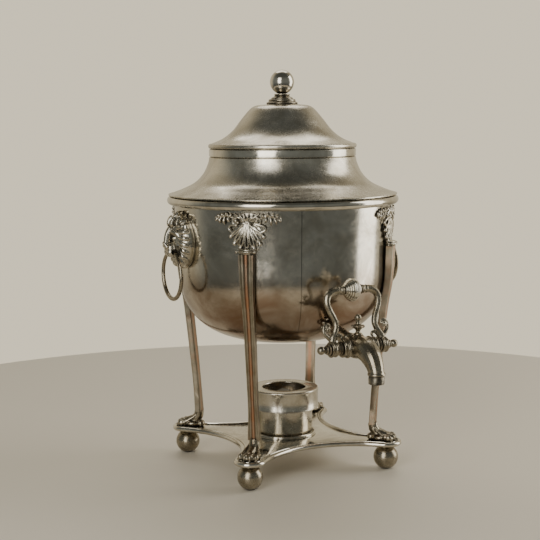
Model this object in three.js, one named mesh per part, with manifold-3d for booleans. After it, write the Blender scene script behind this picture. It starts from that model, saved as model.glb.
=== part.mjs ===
// A Regency-style silver-plated hot-drinks urn. A lidded bowl hangs between four reeded legs with lion-paw
// feet, over a small spirit lamp, with a lion-mask ring handle on each side and a tap at the front.
// Millimetres, +Z up, the tap towards -Y. The origin lies on the table, under the middle of the object's box.
import * as THREE from 'three';
import { mergeVertices } from 'three/addons/utils/BufferGeometryUtils.js';
import Module from 'manifold-3d';

const wasm = await Module();
wasm.setup();

// ---------------------------------------------------------------- sizes, in millimetres
const CLEARANCE = 0.3; // between pieces that touch
const SLIDING_GAP = 0.5; // between pieces that move on each other
const WIDE_SIDES = 28; // facets round the bowl, lid and lamp
const SMALL_SIDES = 14; // facets round balls, studs and collars

// feet and base plate
const FOOT_BALL_RADIUS = 11.8;
const FOOT_FLAT_RADIUS = 3;
const FOOT_NECK_RADIUS = 5;
const FOOT_NECK_HEIGHT = 1;
const FOOT_CIRCLE_RADIUS = 102.2; // the feet stand on this circle, on the square's diagonals
const STUD_RADIUS = 2.2;
const STUD_HEIGHT_ABOVE_PLATE = 6;
const PLATE_THICKNESS = 3;
const PLATE_LOBE_RADIUS = 15;
const PLATE_WAIST = 56.5; // from the axis to the middle of a hollow side
const PLATE_EDGE_WIDTH = 2.6;
const PLATE_EDGE_RISE = 1.1; // how far the edge moulding stands above and below the plate

// bowl
const BOWL_BOTTOM_HEIGHT = 122;
const BOWL_BELLY_HEIGHT = 205;
const BOWL_BELLY_RADIUS = 101.2;
const BOWL_MOUTH_RADIUS = 104.8;
const BOWL_TOP_HEIGHT = 262.8;
const BOWL_BOTTOM_SQUARENESS = 2.85; // 2 is an ellipse, more is squarer
const BOWL_WALL = 1.4;

// rim bead, shoulder, neck
const RIM_BEAD_RADIUS = 4.1;
const RIM_BEAD_OVERHANG = 2.1; // the bead's centre, outside the bowl wall
const RIM_BEAD_DROP = 5.4; // the bead's centre, below the bowl's top edge
const SHOULDER_WALL = 1.2;
const SHOULDER_SETBACK = 1.6; // of the shoulder's edge, inside the rim bead
const NECK_RADIUS = 68.9;
const SHOULDER_HEIGHT = 34.7; // from the bowl's top edge to the foot of the neck
const NECK_HEIGHT = 7.9;
const NECK_COLLAR_THICKNESS = 1.1;
const NECK_COLLAR_HEIGHT = 6.6;

// lid and finial
const LID_WALL = 1.2;
const LID_BEAD_RADIUS = 2.4;
const LID_OVERHANG = 2.1; // of the lid's edge beyond the neck
const LID_HEIGHT = 38; // of the dome above its own edge bead
const LID_TOP_RADIUS = 22;
const BEZEL_WALL = 1.1;
const BEZEL_DEPTH = 12.5;
const BUTTON_RADIUS = 15;
const BUTTON_HEIGHT = 9.8;
const FINIAL_BALL_RADIUS = 11.5;
const FINIAL_STUD_RADIUS = 2.3;
const FINIAL_STUD_LENGTH = 20;
const NUT_RADIUS = 5.6;
const NUT_HEIGHT = 3;

// legs, capitals and paws
const LEG_TOP_WIDTH = 14.2;
const LEG_BOTTOM_WIDTH = 9;
const LEG_TOP_THICKNESS = 7.4;
const LEG_BOTTOM_THICKNESS = 5.6;
const LEG_REEDS = 3;
const LEG_REED_DEPTH = 0.9;
const LEG_WALL_GAP = 0.5; // between the top of a leg and the bowl
const LEG_FOOT_SETBACK = 12.9; // of a leg's lower end, inside the circle of the feet
const ANKLE_HEIGHT = 15.5; // from the plate to a leg's lower end
const CAPITAL_HEIGHT = 37;
const CAPITAL_COLLAR_WIDTH = 18.4;
const CAPITAL_COLLAR_HEIGHT = 4;
const CAPITAL_SPREAD = 31; // from the middle to the tip of a side spray
const PAW_WIDTH = 20;
const TOE_COUNT = 4;

// lion masks and ring handles
const MASK_HALF_WIDTH = 22;
const MASK_HALF_HEIGHT = 29;
const MASK_DROP = 42.8; // from the bowl's top edge to the mask's middle
const MUZZLE_REACH = 21.5; // from the bowl wall to the tip
const MUZZLE_HALF_WIDTH = 7;
const RING_RADIUS = 22;
const RING_WIRE_RADIUS = 1.8;
const RING_PLAY = 1.4; // of the ring's wire in its hole
const RING_PIVOT_DROP = 7.4; // below the mask's middle
const RING_PIVOT_STANDOFF = 13.927; // from the bowl's wall

// tap, placed by the middle of its plug
const TAP_STANDOFF = 39.8; // of the plug, beyond the bowl's widest radius
const TAP_RISE = 14; // of the plug above the bowl's bottom
const SHANK_TILT = 12; // degrees up towards the bowl
const SHANK_RADIUS = 6.5;
const WATERWAY_RADIUS = 3.4;
const BARREL_RADIUS = 8.2;
const BARREL_HALF_LENGTH = 17;
const PLUG_RADIUS = 4.8;
const PLUG_COLLAR_RADIUS = 5.8;
const PLUG_COLLAR_LENGTH = 4.7;
const SPIGOT_RADIUS = 2.6;
const SPIGOT_END_LENGTH = 4; // of the spigot beyond the handle's eye
const EYE_RADIUS = 7;
const EYE_LENGTH = 6;
const END_BALL_RADIUS = 3.6;
const ESCUTCHEON_RADIUS = 9.5;
const ESCUTCHEON_REACH = 9; // of its front face, ahead of where the shank's middle meets the wall
const SPOUT_REACH = 30.5;
const SPOUT_DROP = 26.5;
const SPOUT_ROOT_RADIUS = 9.8;
const SPOUT_TIP_RADIUS = 6.2;
const OUTLET_RADIUS = 6.9;
const OUTLET_HEIGHT = 7.3;
const HANDLE_HEIGHT = 49; // from the plug to the bar
const HANDLE_LEAN = 11; // how far the bar lies back towards the bowl
const HANDLE_HALF_WIDTH = 25.8;
const HANDLE_WAIST_HALF_WIDTH = 19.4;
const HANDLE_BAR_RADIUS = 2.4;
const KNOB_RADIUS = 10.4;
const KNOB_HALF_LENGTH = 7.5;

// spirit lamp
const LAMP_POT_RADIUS = 27.7;
const LAMP_POT_WALL = 1.2;
const LAMP_TOP_HEIGHT = 73.8; // from the table
const LAMP_COVER_OVERHANG = 6.2; // of the cover beyond the pot
const LAMP_COVER_DEPTH = 19.8;
const LAMP_COVER_WALL = 1.2;
const LAMP_MOUTH_RADIUS = 21.1;
const LAMP_SEAT_WIDTH = 2.5;
const LAMP_SEAT_HEIGHT = 2.6;
const BURNER_DEPTH = 8; // below the top of the pot
const WICK_TUBE_RADIUS = 7;
const WICK_TUBE_WALL = 1.1;

// ---------------------------------------------------------------- heights and places worked out from them
const degrees = THREE.MathUtils.degToRad;
const lerp = THREE.MathUtils.lerp;
const footCentreHeight = Math.sqrt(FOOT_BALL_RADIUS ** 2 - FOOT_FLAT_RADIUS ** 2);
const plateBottom = footCentreHeight + FOOT_BALL_RADIUS + FOOT_NECK_HEIGHT;
const plateTop = plateBottom + PLATE_THICKNESS;
const capitalTop = BOWL_TOP_HEIGHT - RIM_BEAD_DROP - RIM_BEAD_RADIUS - CLEARANCE - 1;
const capitalBottom = capitalTop - CAPITAL_HEIGHT;
const legTop = capitalBottom - CLEARANCE;
const legBottom = plateTop + ANKLE_HEIGHT;
const legFootRadius = FOOT_CIRCLE_RADIUS - LEG_FOOT_SETBACK;
const neckFoot = BOWL_TOP_HEIGHT + SHOULDER_HEIGHT;
const neckTop = neckFoot + NECK_HEIGHT;
const lidEdgeRadius = NECK_RADIUS + LID_OVERHANG;
const neckCollarRadius = NECK_RADIUS + CLEARANCE + NECK_COLLAR_THICKNESS;
const lidSeat = neckTop + CLEARANCE;
const lidTop = lidSeat + 2 * LID_BEAD_RADIUS + LID_HEIGHT - 1.6;
const buttonTop = lidTop + CLEARANCE + BUTTON_HEIGHT;
const maskHeight = BOWL_TOP_HEIGHT - MASK_DROP;
const ringPivotHeight = maskHeight - RING_PIVOT_DROP;
const ringPivotReach = bowlRadiusAt(ringPivotHeight) + RING_PIVOT_STANDOFF;
const ringHoleRadius = RING_WIRE_RADIUS + RING_PLAY;
const tapReach = BOWL_BELLY_RADIUS + TAP_STANDOFF;
const tapHeight = BOWL_BOTTOM_HEIGHT + TAP_RISE;
const lampCoverRadius = LAMP_POT_RADIUS + LAMP_COVER_OVERHANG;

// The outside radius of the bowl at a height: a straight flare above the belly, a squared-off oval below it.
function bowlRadiusAt(height) {
  if (height >= BOWL_BELLY_HEIGHT) {
    const share = (height - BOWL_BELLY_HEIGHT) / (BOWL_TOP_HEIGHT - BOWL_BELLY_HEIGHT);
    return lerp(BOWL_BELLY_RADIUS, BOWL_MOUTH_RADIUS, share);
  }
  const depth = (BOWL_BELLY_HEIGHT - height) / (BOWL_BELLY_HEIGHT - BOWL_BOTTOM_HEIGHT);
  return BOWL_BELLY_RADIUS * (1 - depth ** BOWL_BOTTOM_SQUARENESS) ** (1 / BOWL_BOTTOM_SQUARENESS);
}

// ---------------------------------------------------------------- finishes
const finish = (color, roughness, metalness = 1) =>
  new THREE.MeshStandardMaterial({ color, roughness, metalness });
const bodySilver = () => finish('#a8a294', 0.24);
const castSilver = () => finish('#9a9384', 0.3);
const brightSilver = () => finish('#d3cfc4', 0.14);
const wornCopper = () => finish('#a5765a', 0.35);
const brass = () => finish('#b08d57', 0.35);
const darkSteel = () => finish('#4a4641', 0.5);
const cotton = () => finish('#d8cdb4', 0.9, 0);

// ---------------------------------------------------------------- geometry helpers
// One closed skin with shared corners, no empty triangles and its faces pointing out.
function closedSkin(geometry) {
  const bare = new THREE.BufferGeometry();
  bare.setAttribute('position', geometry.getAttribute('position').clone());
  bare.setIndex(geometry.getIndex());
  const merged = mergeVertices(bare, 1e-4);
  const places = merged.getAttribute('position').array;
  const corner = (vertex) => new THREE.Vector3().fromArray(places, 3 * vertex);
  const triangles = [];
  let volume = 0;
  for (let i = 0; i < merged.index.count; i += 3) {
    const [a, b, c] = merged.index.array.slice(i, i + 3);
    if (a === b || b === c || c === a) continue;
    triangles.push(a, b, c);
    volume += corner(a).dot(corner(b).cross(corner(c)));
  }
  if (volume < 0) triangles.reverse();
  merged.setIndex(triangles);
  return merged;
}

function toSolid(geometry) {
  const skin = closedSkin(geometry);
  const vertProperties = skin.getAttribute('position').array;
  const triVerts = Uint32Array.from(skin.index.array);
  return new wasm.Manifold(new wasm.Mesh({ numProp: 3, vertProperties, triVerts }));
}

function toGeometry(solid) {
  const mesh = solid.getMesh();
  const geometry = new THREE.BufferGeometry();
  geometry.setAttribute('position', new THREE.BufferAttribute(mesh.vertProperties, 3));
  geometry.setIndex(new THREE.BufferAttribute(mesh.triVerts, 1));
  return geometry;
}

const join = (...geometries) => geometries.map(toSolid).reduce((a, b) => a.add(b));
const cut = (solid, ...geometries) => geometries.map(toSolid).reduce((a, b) => a.subtract(b), solid);

// Turns an outline of [radius, height] points round the Z axis.
function turned(outline, sides) {
  const points = outline.map(([radius, height]) => new THREE.Vector2(radius, height));
  return new THREE.LatheGeometry(points, sides).rotateX(Math.PI / 2);
}

// The same for a piece whose outline is a loop clear of the axis, such as a ring.
const turnedRing = (outline, sides) => turned([...outline, outline[0]], sides);

// A turned piece laid along the X axis: its outline's heights become X.
const turnedAlongX = (geometry) => geometry.rotateY(Math.PI / 2);

function arc(radiusAt, heightAt, radius, fromDegrees, toDegrees, steps) {
  return Array.from({ length: steps + 1 }, (_, i) => {
    const angle = degrees(lerp(fromDegrees, toDegrees, i / steps));
    return [radiusAt + radius * Math.cos(angle), heightAt + radius * Math.sin(angle)];
  });
}

function smoothOutline(points, steps) {
  const curve = new THREE.SplineCurve(points.map(([radius, height]) => new THREE.Vector2(radius, height)));
  return curve.getSpacedPoints(steps).map((point) => [point.x, point.y]);
}

// An outline moved to its left by a distance. A point on the axis stays on it.
function offsetOutline(outline, distance) {
  return outline.map(([radius, height], i) => {
    const [radius0, height0] = outline[Math.max(i - 1, 0)];
    const [radius1, height1] = outline[Math.min(i + 1, outline.length - 1)];
    const length = Math.hypot(radius1 - radius0, height1 - height0);
    const inward = radius < 1e-6 ? 0 : (distance * (height1 - height0)) / length;
    return [radius - inward, height + (distance * (radius1 - radius0)) / length];
  });
}

const cylinder = (radius, from, to, sides) =>
  turned([[0, from], [radius, from], [radius, to], [0, to]], sides);

const tube = (inside, outside, from, to, sides) =>
  turnedRing([[inside, from], [outside, from], [outside, to], [inside, to]], sides);

// Joins rings of points, all in the same order, into one closed body with a fan over each end.
function loft(rings, endless = false) {
  const count = rings[0].length;
  const points = rings.flat();
  const index = [];
  const bands = endless ? rings.length : rings.length - 1;
  for (let band = 0; band < bands; band++) {
    for (let i = 0; i < count; i++) {
      const a = band * count + i;
      const b = band * count + ((i + 1) % count);
      const next = ((band + 1) % rings.length) * count;
      const c = next + i;
      const d = next + ((i + 1) % count);
      index.push(a, b, d, a, d, c);
    }
  }
  const fan = (start, flip) => {
    const ring = points.slice(start, start + count);
    const middle = ring.reduce((sum, point) => sum.add(point), new THREE.Vector3()).divideScalar(count);
    points.push(middle);
    for (let i = 0; i < count; i++) {
      const [a, b] = [start + i, start + ((i + 1) % count)];
      index.push(points.length - 1, flip ? b : a, flip ? a : b);
    }
  };
  if (!endless) {
    fan(0, true);
    fan((rings.length - 1) * count, false);
  }
  const geometry = new THREE.BufferGeometry().setFromPoints(points);
  geometry.setIndex(index);
  return geometry;
}

// A round bar along a curve whose half width and half depth change on the way.
function bar(path, steps, sides, halfWidthAt, halfDepthAt = halfWidthAt) {
  const points = path.map((point) => new THREE.Vector3(...point));
  const curve = new THREE.CatmullRomCurve3(points, false, 'centripetal');
  const frames = curve.computeFrenetFrames(steps);
  const rings = Array.from({ length: steps + 1 }, (_, k) => {
    const centre = curve.getPointAt(k / steps);
    return Array.from({ length: sides }, (_, i) => {
      const angle = (2 * Math.PI * i) / sides;
      return centre.clone()
        .addScaledVector(frames.normals[k], halfWidthAt(k / steps) * Math.cos(angle))
        .addScaledVector(frames.binormals[k], halfDepthAt(k / steps) * Math.sin(angle));
    });
  });
  return loft(rings);
}

// A lump of cast ornament: a stretched ball with few facets, turned about the X axis.
function lump(centre, size, turn = 0, detail = 0) {
  const ball = detail > 0 ? new THREE.IcosahedronGeometry(1, detail - 1) : new THREE.OctahedronGeometry(1);
  return ball.scale(...size).rotateX(turn).translate(...centre);
}

// ---------------------------------------------------------------- bowl, rim, shoulder and neck
function bowlOutline() {
  const rounds = 8;
  const points = Array.from({ length: rounds + 1 }, (_, i) => {
    const angle = (Math.PI / 2) * (i / rounds);
    const power = 2 / BOWL_BOTTOM_SQUARENESS;
    const depth = (BOWL_BELLY_HEIGHT - BOWL_BOTTOM_HEIGHT) * Math.cos(angle) ** power;
    return [BOWL_BELLY_RADIUS * Math.sin(angle) ** power, BOWL_BELLY_HEIGHT - depth];
  });
  points[0] = [0, BOWL_BOTTOM_HEIGHT];
  points[rounds] = [BOWL_BELLY_RADIUS, BOWL_BELLY_HEIGHT];
  return [...points, [BOWL_MOUTH_RADIUS, BOWL_TOP_HEIGHT]];
}

// The solid that anything fixed to the outside of the bowl is cut by.
function bowlEnvelope() {
  const outline = offsetOutline(bowlOutline(), -CLEARANCE);
  const top = [outline.at(-1)[0], BOWL_TOP_HEIGHT + 1];
  return turned([...outline, top, [0, top[1]]], WIDE_SIDES);
}

function bowl() {
  const outside = bowlOutline();
  const inside = offsetOutline(outside, BOWL_WALL);
  inside[inside.length - 1][1] = BOWL_TOP_HEIGHT;
  const shell = toSolid(turned([...outside, ...inside.reverse()], WIDE_SIDES));
  const tapHole = cylinder(SHANK_RADIUS + CLEARANCE, 0, 2 * shankLength(), SMALL_SIDES);
  return toGeometry(cut(shell, placedAlongShank(tapHole).translate(0, -tapReach, tapHeight)));
}

function rimBead() {
  const inside = BOWL_MOUTH_RADIUS + CLEARANCE;
  const middle = BOWL_MOUTH_RADIUS + RIM_BEAD_OVERHANG;
  const openAngle = THREE.MathUtils.radToDeg(Math.acos((inside - middle) / RIM_BEAD_RADIUS));
  const height = BOWL_TOP_HEIGHT - RIM_BEAD_DROP;
  return turnedRing(arc(middle, height, RIM_BEAD_RADIUS, -openAngle, openAngle, 7), WIDE_SIDES);
}

function shoulder() {
  const rimTop = BOWL_TOP_HEIGHT - RIM_BEAD_DROP + RIM_BEAD_RADIUS;
  const edgeRadius = BOWL_MOUTH_RADIUS + RIM_BEAD_OVERHANG + RIM_BEAD_RADIUS - SHOULDER_SETBACK;
  const edge = [edgeRadius, rimTop + SHOULDER_WALL + CLEARANCE];
  const rise = neckFoot - edge[1];
  const run = edge[0] - NECK_RADIUS;
  const swept = smoothOutline([
    edge,
    [NECK_RADIUS + 0.64 * run, edge[1] + 0.15 * rise],
    [NECK_RADIUS + 0.375 * run, edge[1] + 0.31 * rise],
    [NECK_RADIUS + 0.17 * run, edge[1] + 0.56 * rise],
    [NECK_RADIUS + 0.055 * run, edge[1] + 0.85 * rise],
    [NECK_RADIUS + 0.03 * run, neckFoot],
  ], 7);
  const neck = [[NECK_RADIUS, neckFoot + 0.5], [NECK_RADIUS, neckTop]];
  const outside = [...swept, ...neck];
  const neckInside = neck.map(([radius, height]) => [radius - SHOULDER_WALL, height]);
  const inside = [...offsetOutline(swept, SHOULDER_WALL), ...neckInside];
  return turnedRing([...outside, ...inside.reverse()], WIDE_SIDES);
}

function neckCollar() {
  const inside = NECK_RADIUS + CLEARANCE;
  const top = neckTop - 0.2;
  const bottom = top - NECK_COLLAR_HEIGHT;
  return turnedRing([
    [inside, bottom], [neckCollarRadius - 0.4, bottom], [neckCollarRadius, bottom + 0.8],
    [neckCollarRadius, top - 0.8], [neckCollarRadius - 0.4, top], [inside, top],
  ], WIDE_SIDES);
}

// ---------------------------------------------------------------- lid and finial
function lidDome() {
  const stud = FINIAL_STUD_RADIUS + CLEARANCE;
  const beadHeight = lidSeat + LID_BEAD_RADIUS;
  const beadRadius = lidEdgeRadius - LID_BEAD_RADIUS;
  const flareFoot = beadHeight + LID_BEAD_RADIUS;
  const rise = lidTop - flareFoot;
  const run = beadRadius - LID_TOP_RADIUS;
  const bead = arc(beadRadius, beadHeight, LID_BEAD_RADIUS, -90, 75, 4);
  const flare = smoothOutline([
    [beadRadius - 0.6, flareFoot],
    [LID_TOP_RADIUS + 0.75 * run, flareFoot + 0.13 * rise],
    [LID_TOP_RADIUS + 0.54 * run, flareFoot + 0.34 * rise],
    [LID_TOP_RADIUS + 0.35 * run, flareFoot + 0.645 * rise],
    [LID_TOP_RADIUS + 0.14 * run, flareFoot + 0.93 * rise],
    [LID_TOP_RADIUS - 4, lidTop],
    [stud, lidTop + 0.1],
  ], 9);
  const bezelRadius = NECK_RADIUS - SHOULDER_WALL - SLIDING_GAP - BEZEL_WALL;
  const under = offsetOutline(flare, LID_WALL).filter(([radius]) => radius < bezelRadius - 0.5);
  return turnedRing([
    [bezelRadius, lidSeat], ...bead, ...flare, ...under.reverse(), [bezelRadius, flareFoot - 0.4],
  ], WIDE_SIDES);
}

function lidBezel() {
  const outside = NECK_RADIUS - SHOULDER_WALL - SLIDING_GAP;
  const top = lidSeat - CLEARANCE;
  return tube(outside - BEZEL_WALL, outside, top - BEZEL_DEPTH, top, WIDE_SIDES);
}

function finialButton() {
  const hole = FINIAL_STUD_RADIUS + CLEARANCE;
  const bottom = lidTop + 0.1 + CLEARANCE;
  const neck = 0.46 * BUTTON_RADIUS;
  return turnedRing([
    [hole, bottom], [BUTTON_RADIUS, bottom], [BUTTON_RADIUS, bottom + 2], [BUTTON_RADIUS - 0.7, bottom + 3.4],
    [BUTTON_RADIUS - 2.6, bottom + 5], [neck + 2.6, bottom + 6.6], [neck, bottom + 7.6], [neck, buttonTop],
    [hole, buttonTop],
  ], SMALL_SIDES + 4);
}

function finialBall() {
  const centre = buttonTop + CLEARANCE + FINIAL_BALL_RADIUS * Math.sin(degrees(72));
  const studBottom = lidTop - FINIAL_STUD_LENGTH / 2;
  const ball = arc(0, centre, FINIAL_BALL_RADIUS, -72, 90, 8);
  ball[ball.length - 1][0] = 0;
  const seat = centre - FINIAL_BALL_RADIUS * Math.sin(degrees(72));
  return turned([
    [0, studBottom], [FINIAL_STUD_RADIUS, studBottom], [FINIAL_STUD_RADIUS, seat], ...ball,
  ], SMALL_SIDES);
}

function finialNut() {
  const top = lidTop - LID_WALL - CLEARANCE;
  const centre = new THREE.Vector2();
  const corner = (_, i) => new THREE.Vector2(NUT_RADIUS, 0).rotateAround(centre, (i * Math.PI) / 3);
  const hexagon = new THREE.Shape(Array.from({ length: 6 }, corner));
  hexagon.holes.push(new THREE.Path().absarc(0, 0, FINIAL_STUD_RADIUS + CLEARANCE, 0, 2 * Math.PI, true));
  const options = { depth: NUT_HEIGHT, bevelEnabled: false, curveSegments: SMALL_SIDES };
  return new THREE.ExtrudeGeometry(hexagon, options).translate(0, 0, top - NUT_HEIGHT);
}

// ---------------------------------------------------------------- base plate and feet
// A square with round lobes at its corners and hollow sides, drawn in by an inset.
function plateOutline(inset) {
  const lobe = FOOT_CIRCLE_RADIUS / Math.SQRT2;
  const neck = PLATE_WAIST - PLATE_LOBE_RADIUS;
  const hollow = (2 * lobe ** 2 - neck ** 2) / (2 * (lobe - neck));
  const touch = THREE.MathUtils.radToDeg(Math.atan2(hollow - lobe, lobe));
  const side = [
    ...arc(0, -hollow, hollow - PLATE_WAIST + inset, 180 - touch, touch, 6),
    ...arc(lobe, -lobe, PLATE_LOBE_RADIUS - inset, touch - 180, 90 - touch, 7).slice(1, -1),
  ];
  const centre = new THREE.Vector2();
  return [0, 1, 2, 3].flatMap((quarter) => side.map(([x, y]) =>
    new THREE.Vector2(x, y).rotateAround(centre, (quarter * Math.PI) / 2)));
}

function basePlate() {
  const shape = new THREE.Shape(plateOutline(PLATE_EDGE_WIDTH + CLEARANCE));
  const lobe = FOOT_CIRCLE_RADIUS / Math.SQRT2;
  for (const [x, y] of [[lobe, lobe], [-lobe, lobe], [-lobe, -lobe], [lobe, -lobe]]) {
    shape.holes.push(new THREE.Path().absarc(x, y, STUD_RADIUS + CLEARANCE, 0, 2 * Math.PI, true));
  }
  const options = { depth: PLATE_THICKNESS, bevelEnabled: false, curveSegments: SMALL_SIDES / 2 };
  return new THREE.ExtrudeGeometry(shape, options).translate(0, 0, plateBottom);
}

function plateEdge() {
  const top = plateTop + PLATE_EDGE_RISE;
  const bottom = plateBottom - PLATE_EDGE_RISE;
  const section = [
    [PLATE_EDGE_WIDTH, bottom + 0.6], [1, bottom], [0, bottom + 1.6], [0, top - 1.6], [1, top],
    [PLATE_EDGE_WIDTH, top - 0.6],
  ];
  const loops = section.map(([inset, height]) =>
    plateOutline(inset).map(({ x, y }) => new THREE.Vector3(x, y, height)));
  const rings = loops[0].map((_, station) => loops.map((loop) => loop[station]));
  return loft(rings, true);
}

// Stands on the table and screws up through the plate into the paw, at the leg's place on the X axis.
function footBall() {
  const flatAngle = THREE.MathUtils.radToDeg(Math.acos(FOOT_FLAT_RADIUS / FOOT_BALL_RADIUS));
  const neckAngle = THREE.MathUtils.radToDeg(Math.acos(FOOT_NECK_RADIUS / FOOT_BALL_RADIUS));
  const ball = arc(0, footCentreHeight, FOOT_BALL_RADIUS, -flatAngle, neckAngle, 6);
  ball[0] = [FOOT_FLAT_RADIUS, 0];
  const seat = plateBottom - CLEARANCE;
  const studTop = plateTop + STUD_HEIGHT_ABOVE_PLATE;
  return turned([
    [0, 0], ...ball, [FOOT_NECK_RADIUS, seat], [STUD_RADIUS, seat], [STUD_RADIUS, studTop], [0, studTop],
  ], SMALL_SIDES).translate(FOOT_CIRCLE_RADIUS, 0, 0);
}

// ---------------------------------------------------------------- legs: each stands on the X axis
// The leg's middle line, as [distance from the urn's axis, height]: upright beside the bowl, then inwards.
function legLine() {
  const top = bowlRadiusAt(legTop) + LEG_WALL_GAP + LEG_TOP_THICKNESS / 2 + 0.2;
  const belly = lerp(legTop, legBottom, 0.18);
  const line = [
    [top, legTop],
    [lerp(top, legFootRadius, 0.2), belly],
    [lerp(top, legFootRadius, 0.42), lerp(legTop, legBottom, 0.38)],
    [lerp(top, legFootRadius, 0.83), lerp(legTop, legBottom, 0.77)],
    [legFootRadius, legBottom],
  ];
  const clearOfBowl = (height) => bowlRadiusAt(height) + LEG_WALL_GAP + LEG_TOP_THICKNESS / 2;
  return new THREE.SplineCurve(line.map(([radius, height]) =>
    new THREE.Vector2(height > BOWL_BOTTOM_HEIGHT ? Math.max(radius, clearOfBowl(height)) : radius, height)));
}

// A leg's cross-section: rounded reeds on the outer face and a flat back.
function legSection(width, thickness) {
  const points = [];
  const pitch = width / LEG_REEDS;
  for (let reed = 0; reed < LEG_REEDS; reed++) {
    const start = -width / 2 + reed * pitch;
    points.push([thickness / 2 - LEG_REED_DEPTH, start], [thickness / 2, start + 0.28 * pitch]);
    points.push([thickness / 2, start + 0.72 * pitch]);
  }
  points.push([thickness / 2 - LEG_REED_DEPTH, width / 2], [-thickness / 2 + 1, width / 2]);
  points.push([-thickness / 2, width / 2 - 1.5], [-thickness / 2, -width / 2 + 1.5]);
  points.push([-thickness / 2 + 1, -width / 2]);
  return points;
}

function leg() {
  const line = legLine();
  const stations = 9;
  const rings = Array.from({ length: stations + 1 }, (_, k) => {
    const share = k / stations;
    const { x: radius, y: height } = line.getPointAt(share);
    const width = lerp(LEG_TOP_WIDTH, LEG_BOTTOM_WIDTH, Math.min(1, 1.15 * share));
    const thickness = lerp(LEG_TOP_THICKNESS, LEG_BOTTOM_THICKNESS, share);
    const section = legSection(width, thickness);
    return section.map(([out, across]) => new THREE.Vector3(radius + out, across, height));
  });
  return loft(rings);
}

function pawFoot() {
  const top = legBottom - CLEARANCE;
  const bottom = plateTop + CLEARANCE;
  const height = top - bottom;
  const toeRow = FOOT_CIRCLE_RADIUS + 6.6;
  const ankle = bar([
    [legFootRadius, 0, top], [legFootRadius + 1.2, 0, bottom + 0.62 * height],
    [legFootRadius + 7, 0, bottom + 0.34 * height], [toeRow - 3, 0, bottom + 0.22 * height],
  ], 4, 10, (share) => lerp(LEG_BOTTOM_WIDTH / 2 + 0.3, PAW_WIDTH / 2 - 0.6, share ** 0.8),
  (share) => lerp(LEG_BOTTOM_THICKNESS / 2 + 0.2, 4.4, share));
  const toePitch = PAW_WIDTH / TOE_COUNT;
  const toes = Array.from({ length: TOE_COUNT }, (_, i) => {
    const across = (i - (TOE_COUNT - 1) / 2) * toePitch;
    const reach = toeRow - 0.03 * across ** 2;
    return lump([reach, across, bottom + 2.9], [5.4, 0.58 * toePitch, 3.8]);
  });
  const under = new THREE.BoxGeometry(80, 80, 20).translate(FOOT_CIRCLE_RADIUS, 0, bottom - 10);
  const over = new THREE.BoxGeometry(80, 80, 20).translate(legFootRadius, 0, top + 10);
  const studHoleTop = plateTop + STUD_HEIGHT_ABOVE_PLATE + CLEARANCE;
  const studHole = cylinder(STUD_RADIUS + CLEARANCE, bottom - 1, studHoleTop, 12)
    .translate(FOOT_CIRCLE_RADIUS, 0, 0);
  return toGeometry(cut(join(ankle, ...toes), under, over, studHole));
}

// Wraps a flat design round the bowl: its X is the height above the wall, its Y runs along the wall.
function wrapped(solid) {
  return solid.warp((point) => {
    const wall = bowlRadiusAt(point[2]) + CLEARANCE + 0.1;
    const angle = point[1] / wall;
    const radius = wall + point[0];
    point[0] = radius * Math.cos(angle);
    point[1] = radius * Math.sin(angle);
  });
}

// A palmette with side sprays under the rim bead, over the moulded collar that tops the leg.
function capital() {
  const collarTop = capitalBottom + CAPITAL_COLLAR_HEIGHT;
  const fanHeight = lerp(capitalBottom, capitalTop, 0.79);
  const fanDrop = fanHeight - collarTop;
  const shell = [
    [1, fanHeight + 1, capitalTop - 2, 1.2], [0.76, fanHeight - 5, capitalTop, 1.6],
    [0.56, fanHeight - 10, capitalTop, 2], [0.47, lerp(fanHeight, collarTop, 0.66), capitalTop, 2.6],
    [0.28, collarTop + 1, capitalTop, 3],
  ];
  const columns = [...shell, [0, collarTop - 1, capitalTop, 3.2],
    ...[...shell].reverse().map(([share, low, high, thick]) => [-share, low, high, thick])];
  const backing = loft(columns.map(([share, low, high, thick]) => [
    [0, low], [thick, low + 0.6], [thick, high - 0.6], [0, high],
  ].map(([out, height]) => new THREE.Vector3(out, share * CAPITAL_SPREAD, height))));
  const ribAngles = [-58, -30, 0, 30, 58];
  const ribs = ribAngles.map((angle) => {
    const turn = degrees(angle);
    const length = 0.5 * fanDrop * (1 - 0.12 * Math.abs(Math.sin(turn)));
    const centre = [3.2, length * Math.sin(turn), fanHeight - length * Math.cos(turn)];
    return lump(centre, [2.4, 2, length], turn);
  });
  const plumeHalf = (capitalTop - fanHeight) / 2 - 0.2;
  const plumes = [-40, 0, 40].map((angle) => {
    const turn = degrees(angle);
    const [across, up] = [plumeHalf * Math.sin(turn), plumeHalf * Math.cos(turn)];
    return lump([3, across, fanHeight + up], [2, 1.6, plumeHalf], -turn);
  });
  const volutes = [-1, 1].map((side) => lump([2.8, side * 9.6, fanHeight - 1], [2.6, 3.6, 3.6], 0, 1));
  const sprays = [-1, 1].flatMap((side) => [
    lump([1.8, side * 19, fanHeight + 3], [1.8, 5.2, 2.6]),
    lump([1.6, side * 25, fanHeight + 1.5], [1.5, 4.6, 2.8]),
  ]);
  const collar = loft([[0, 0.8], [0.3, 1], [0.75, 1], [1, 0.82]].map(([rise, share]) => {
    const half = (CAPITAL_COLLAR_WIDTH / 2) * share;
    const out = (LEG_TOP_THICKNESS + 2.8) * share;
    const height = capitalBottom + rise * CAPITAL_COLLAR_HEIGHT;
    return [[0, -half], [out - 2, -half], [out, -half + 3], [out, half - 3], [out - 2, half], [0, half]]
      .map(([x, y]) => new THREE.Vector3(x, y, height));
  }));
  return toGeometry(wrapped(join(backing, collar, ...ribs, ...plumes, ...volutes, ...sprays)));
}

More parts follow.
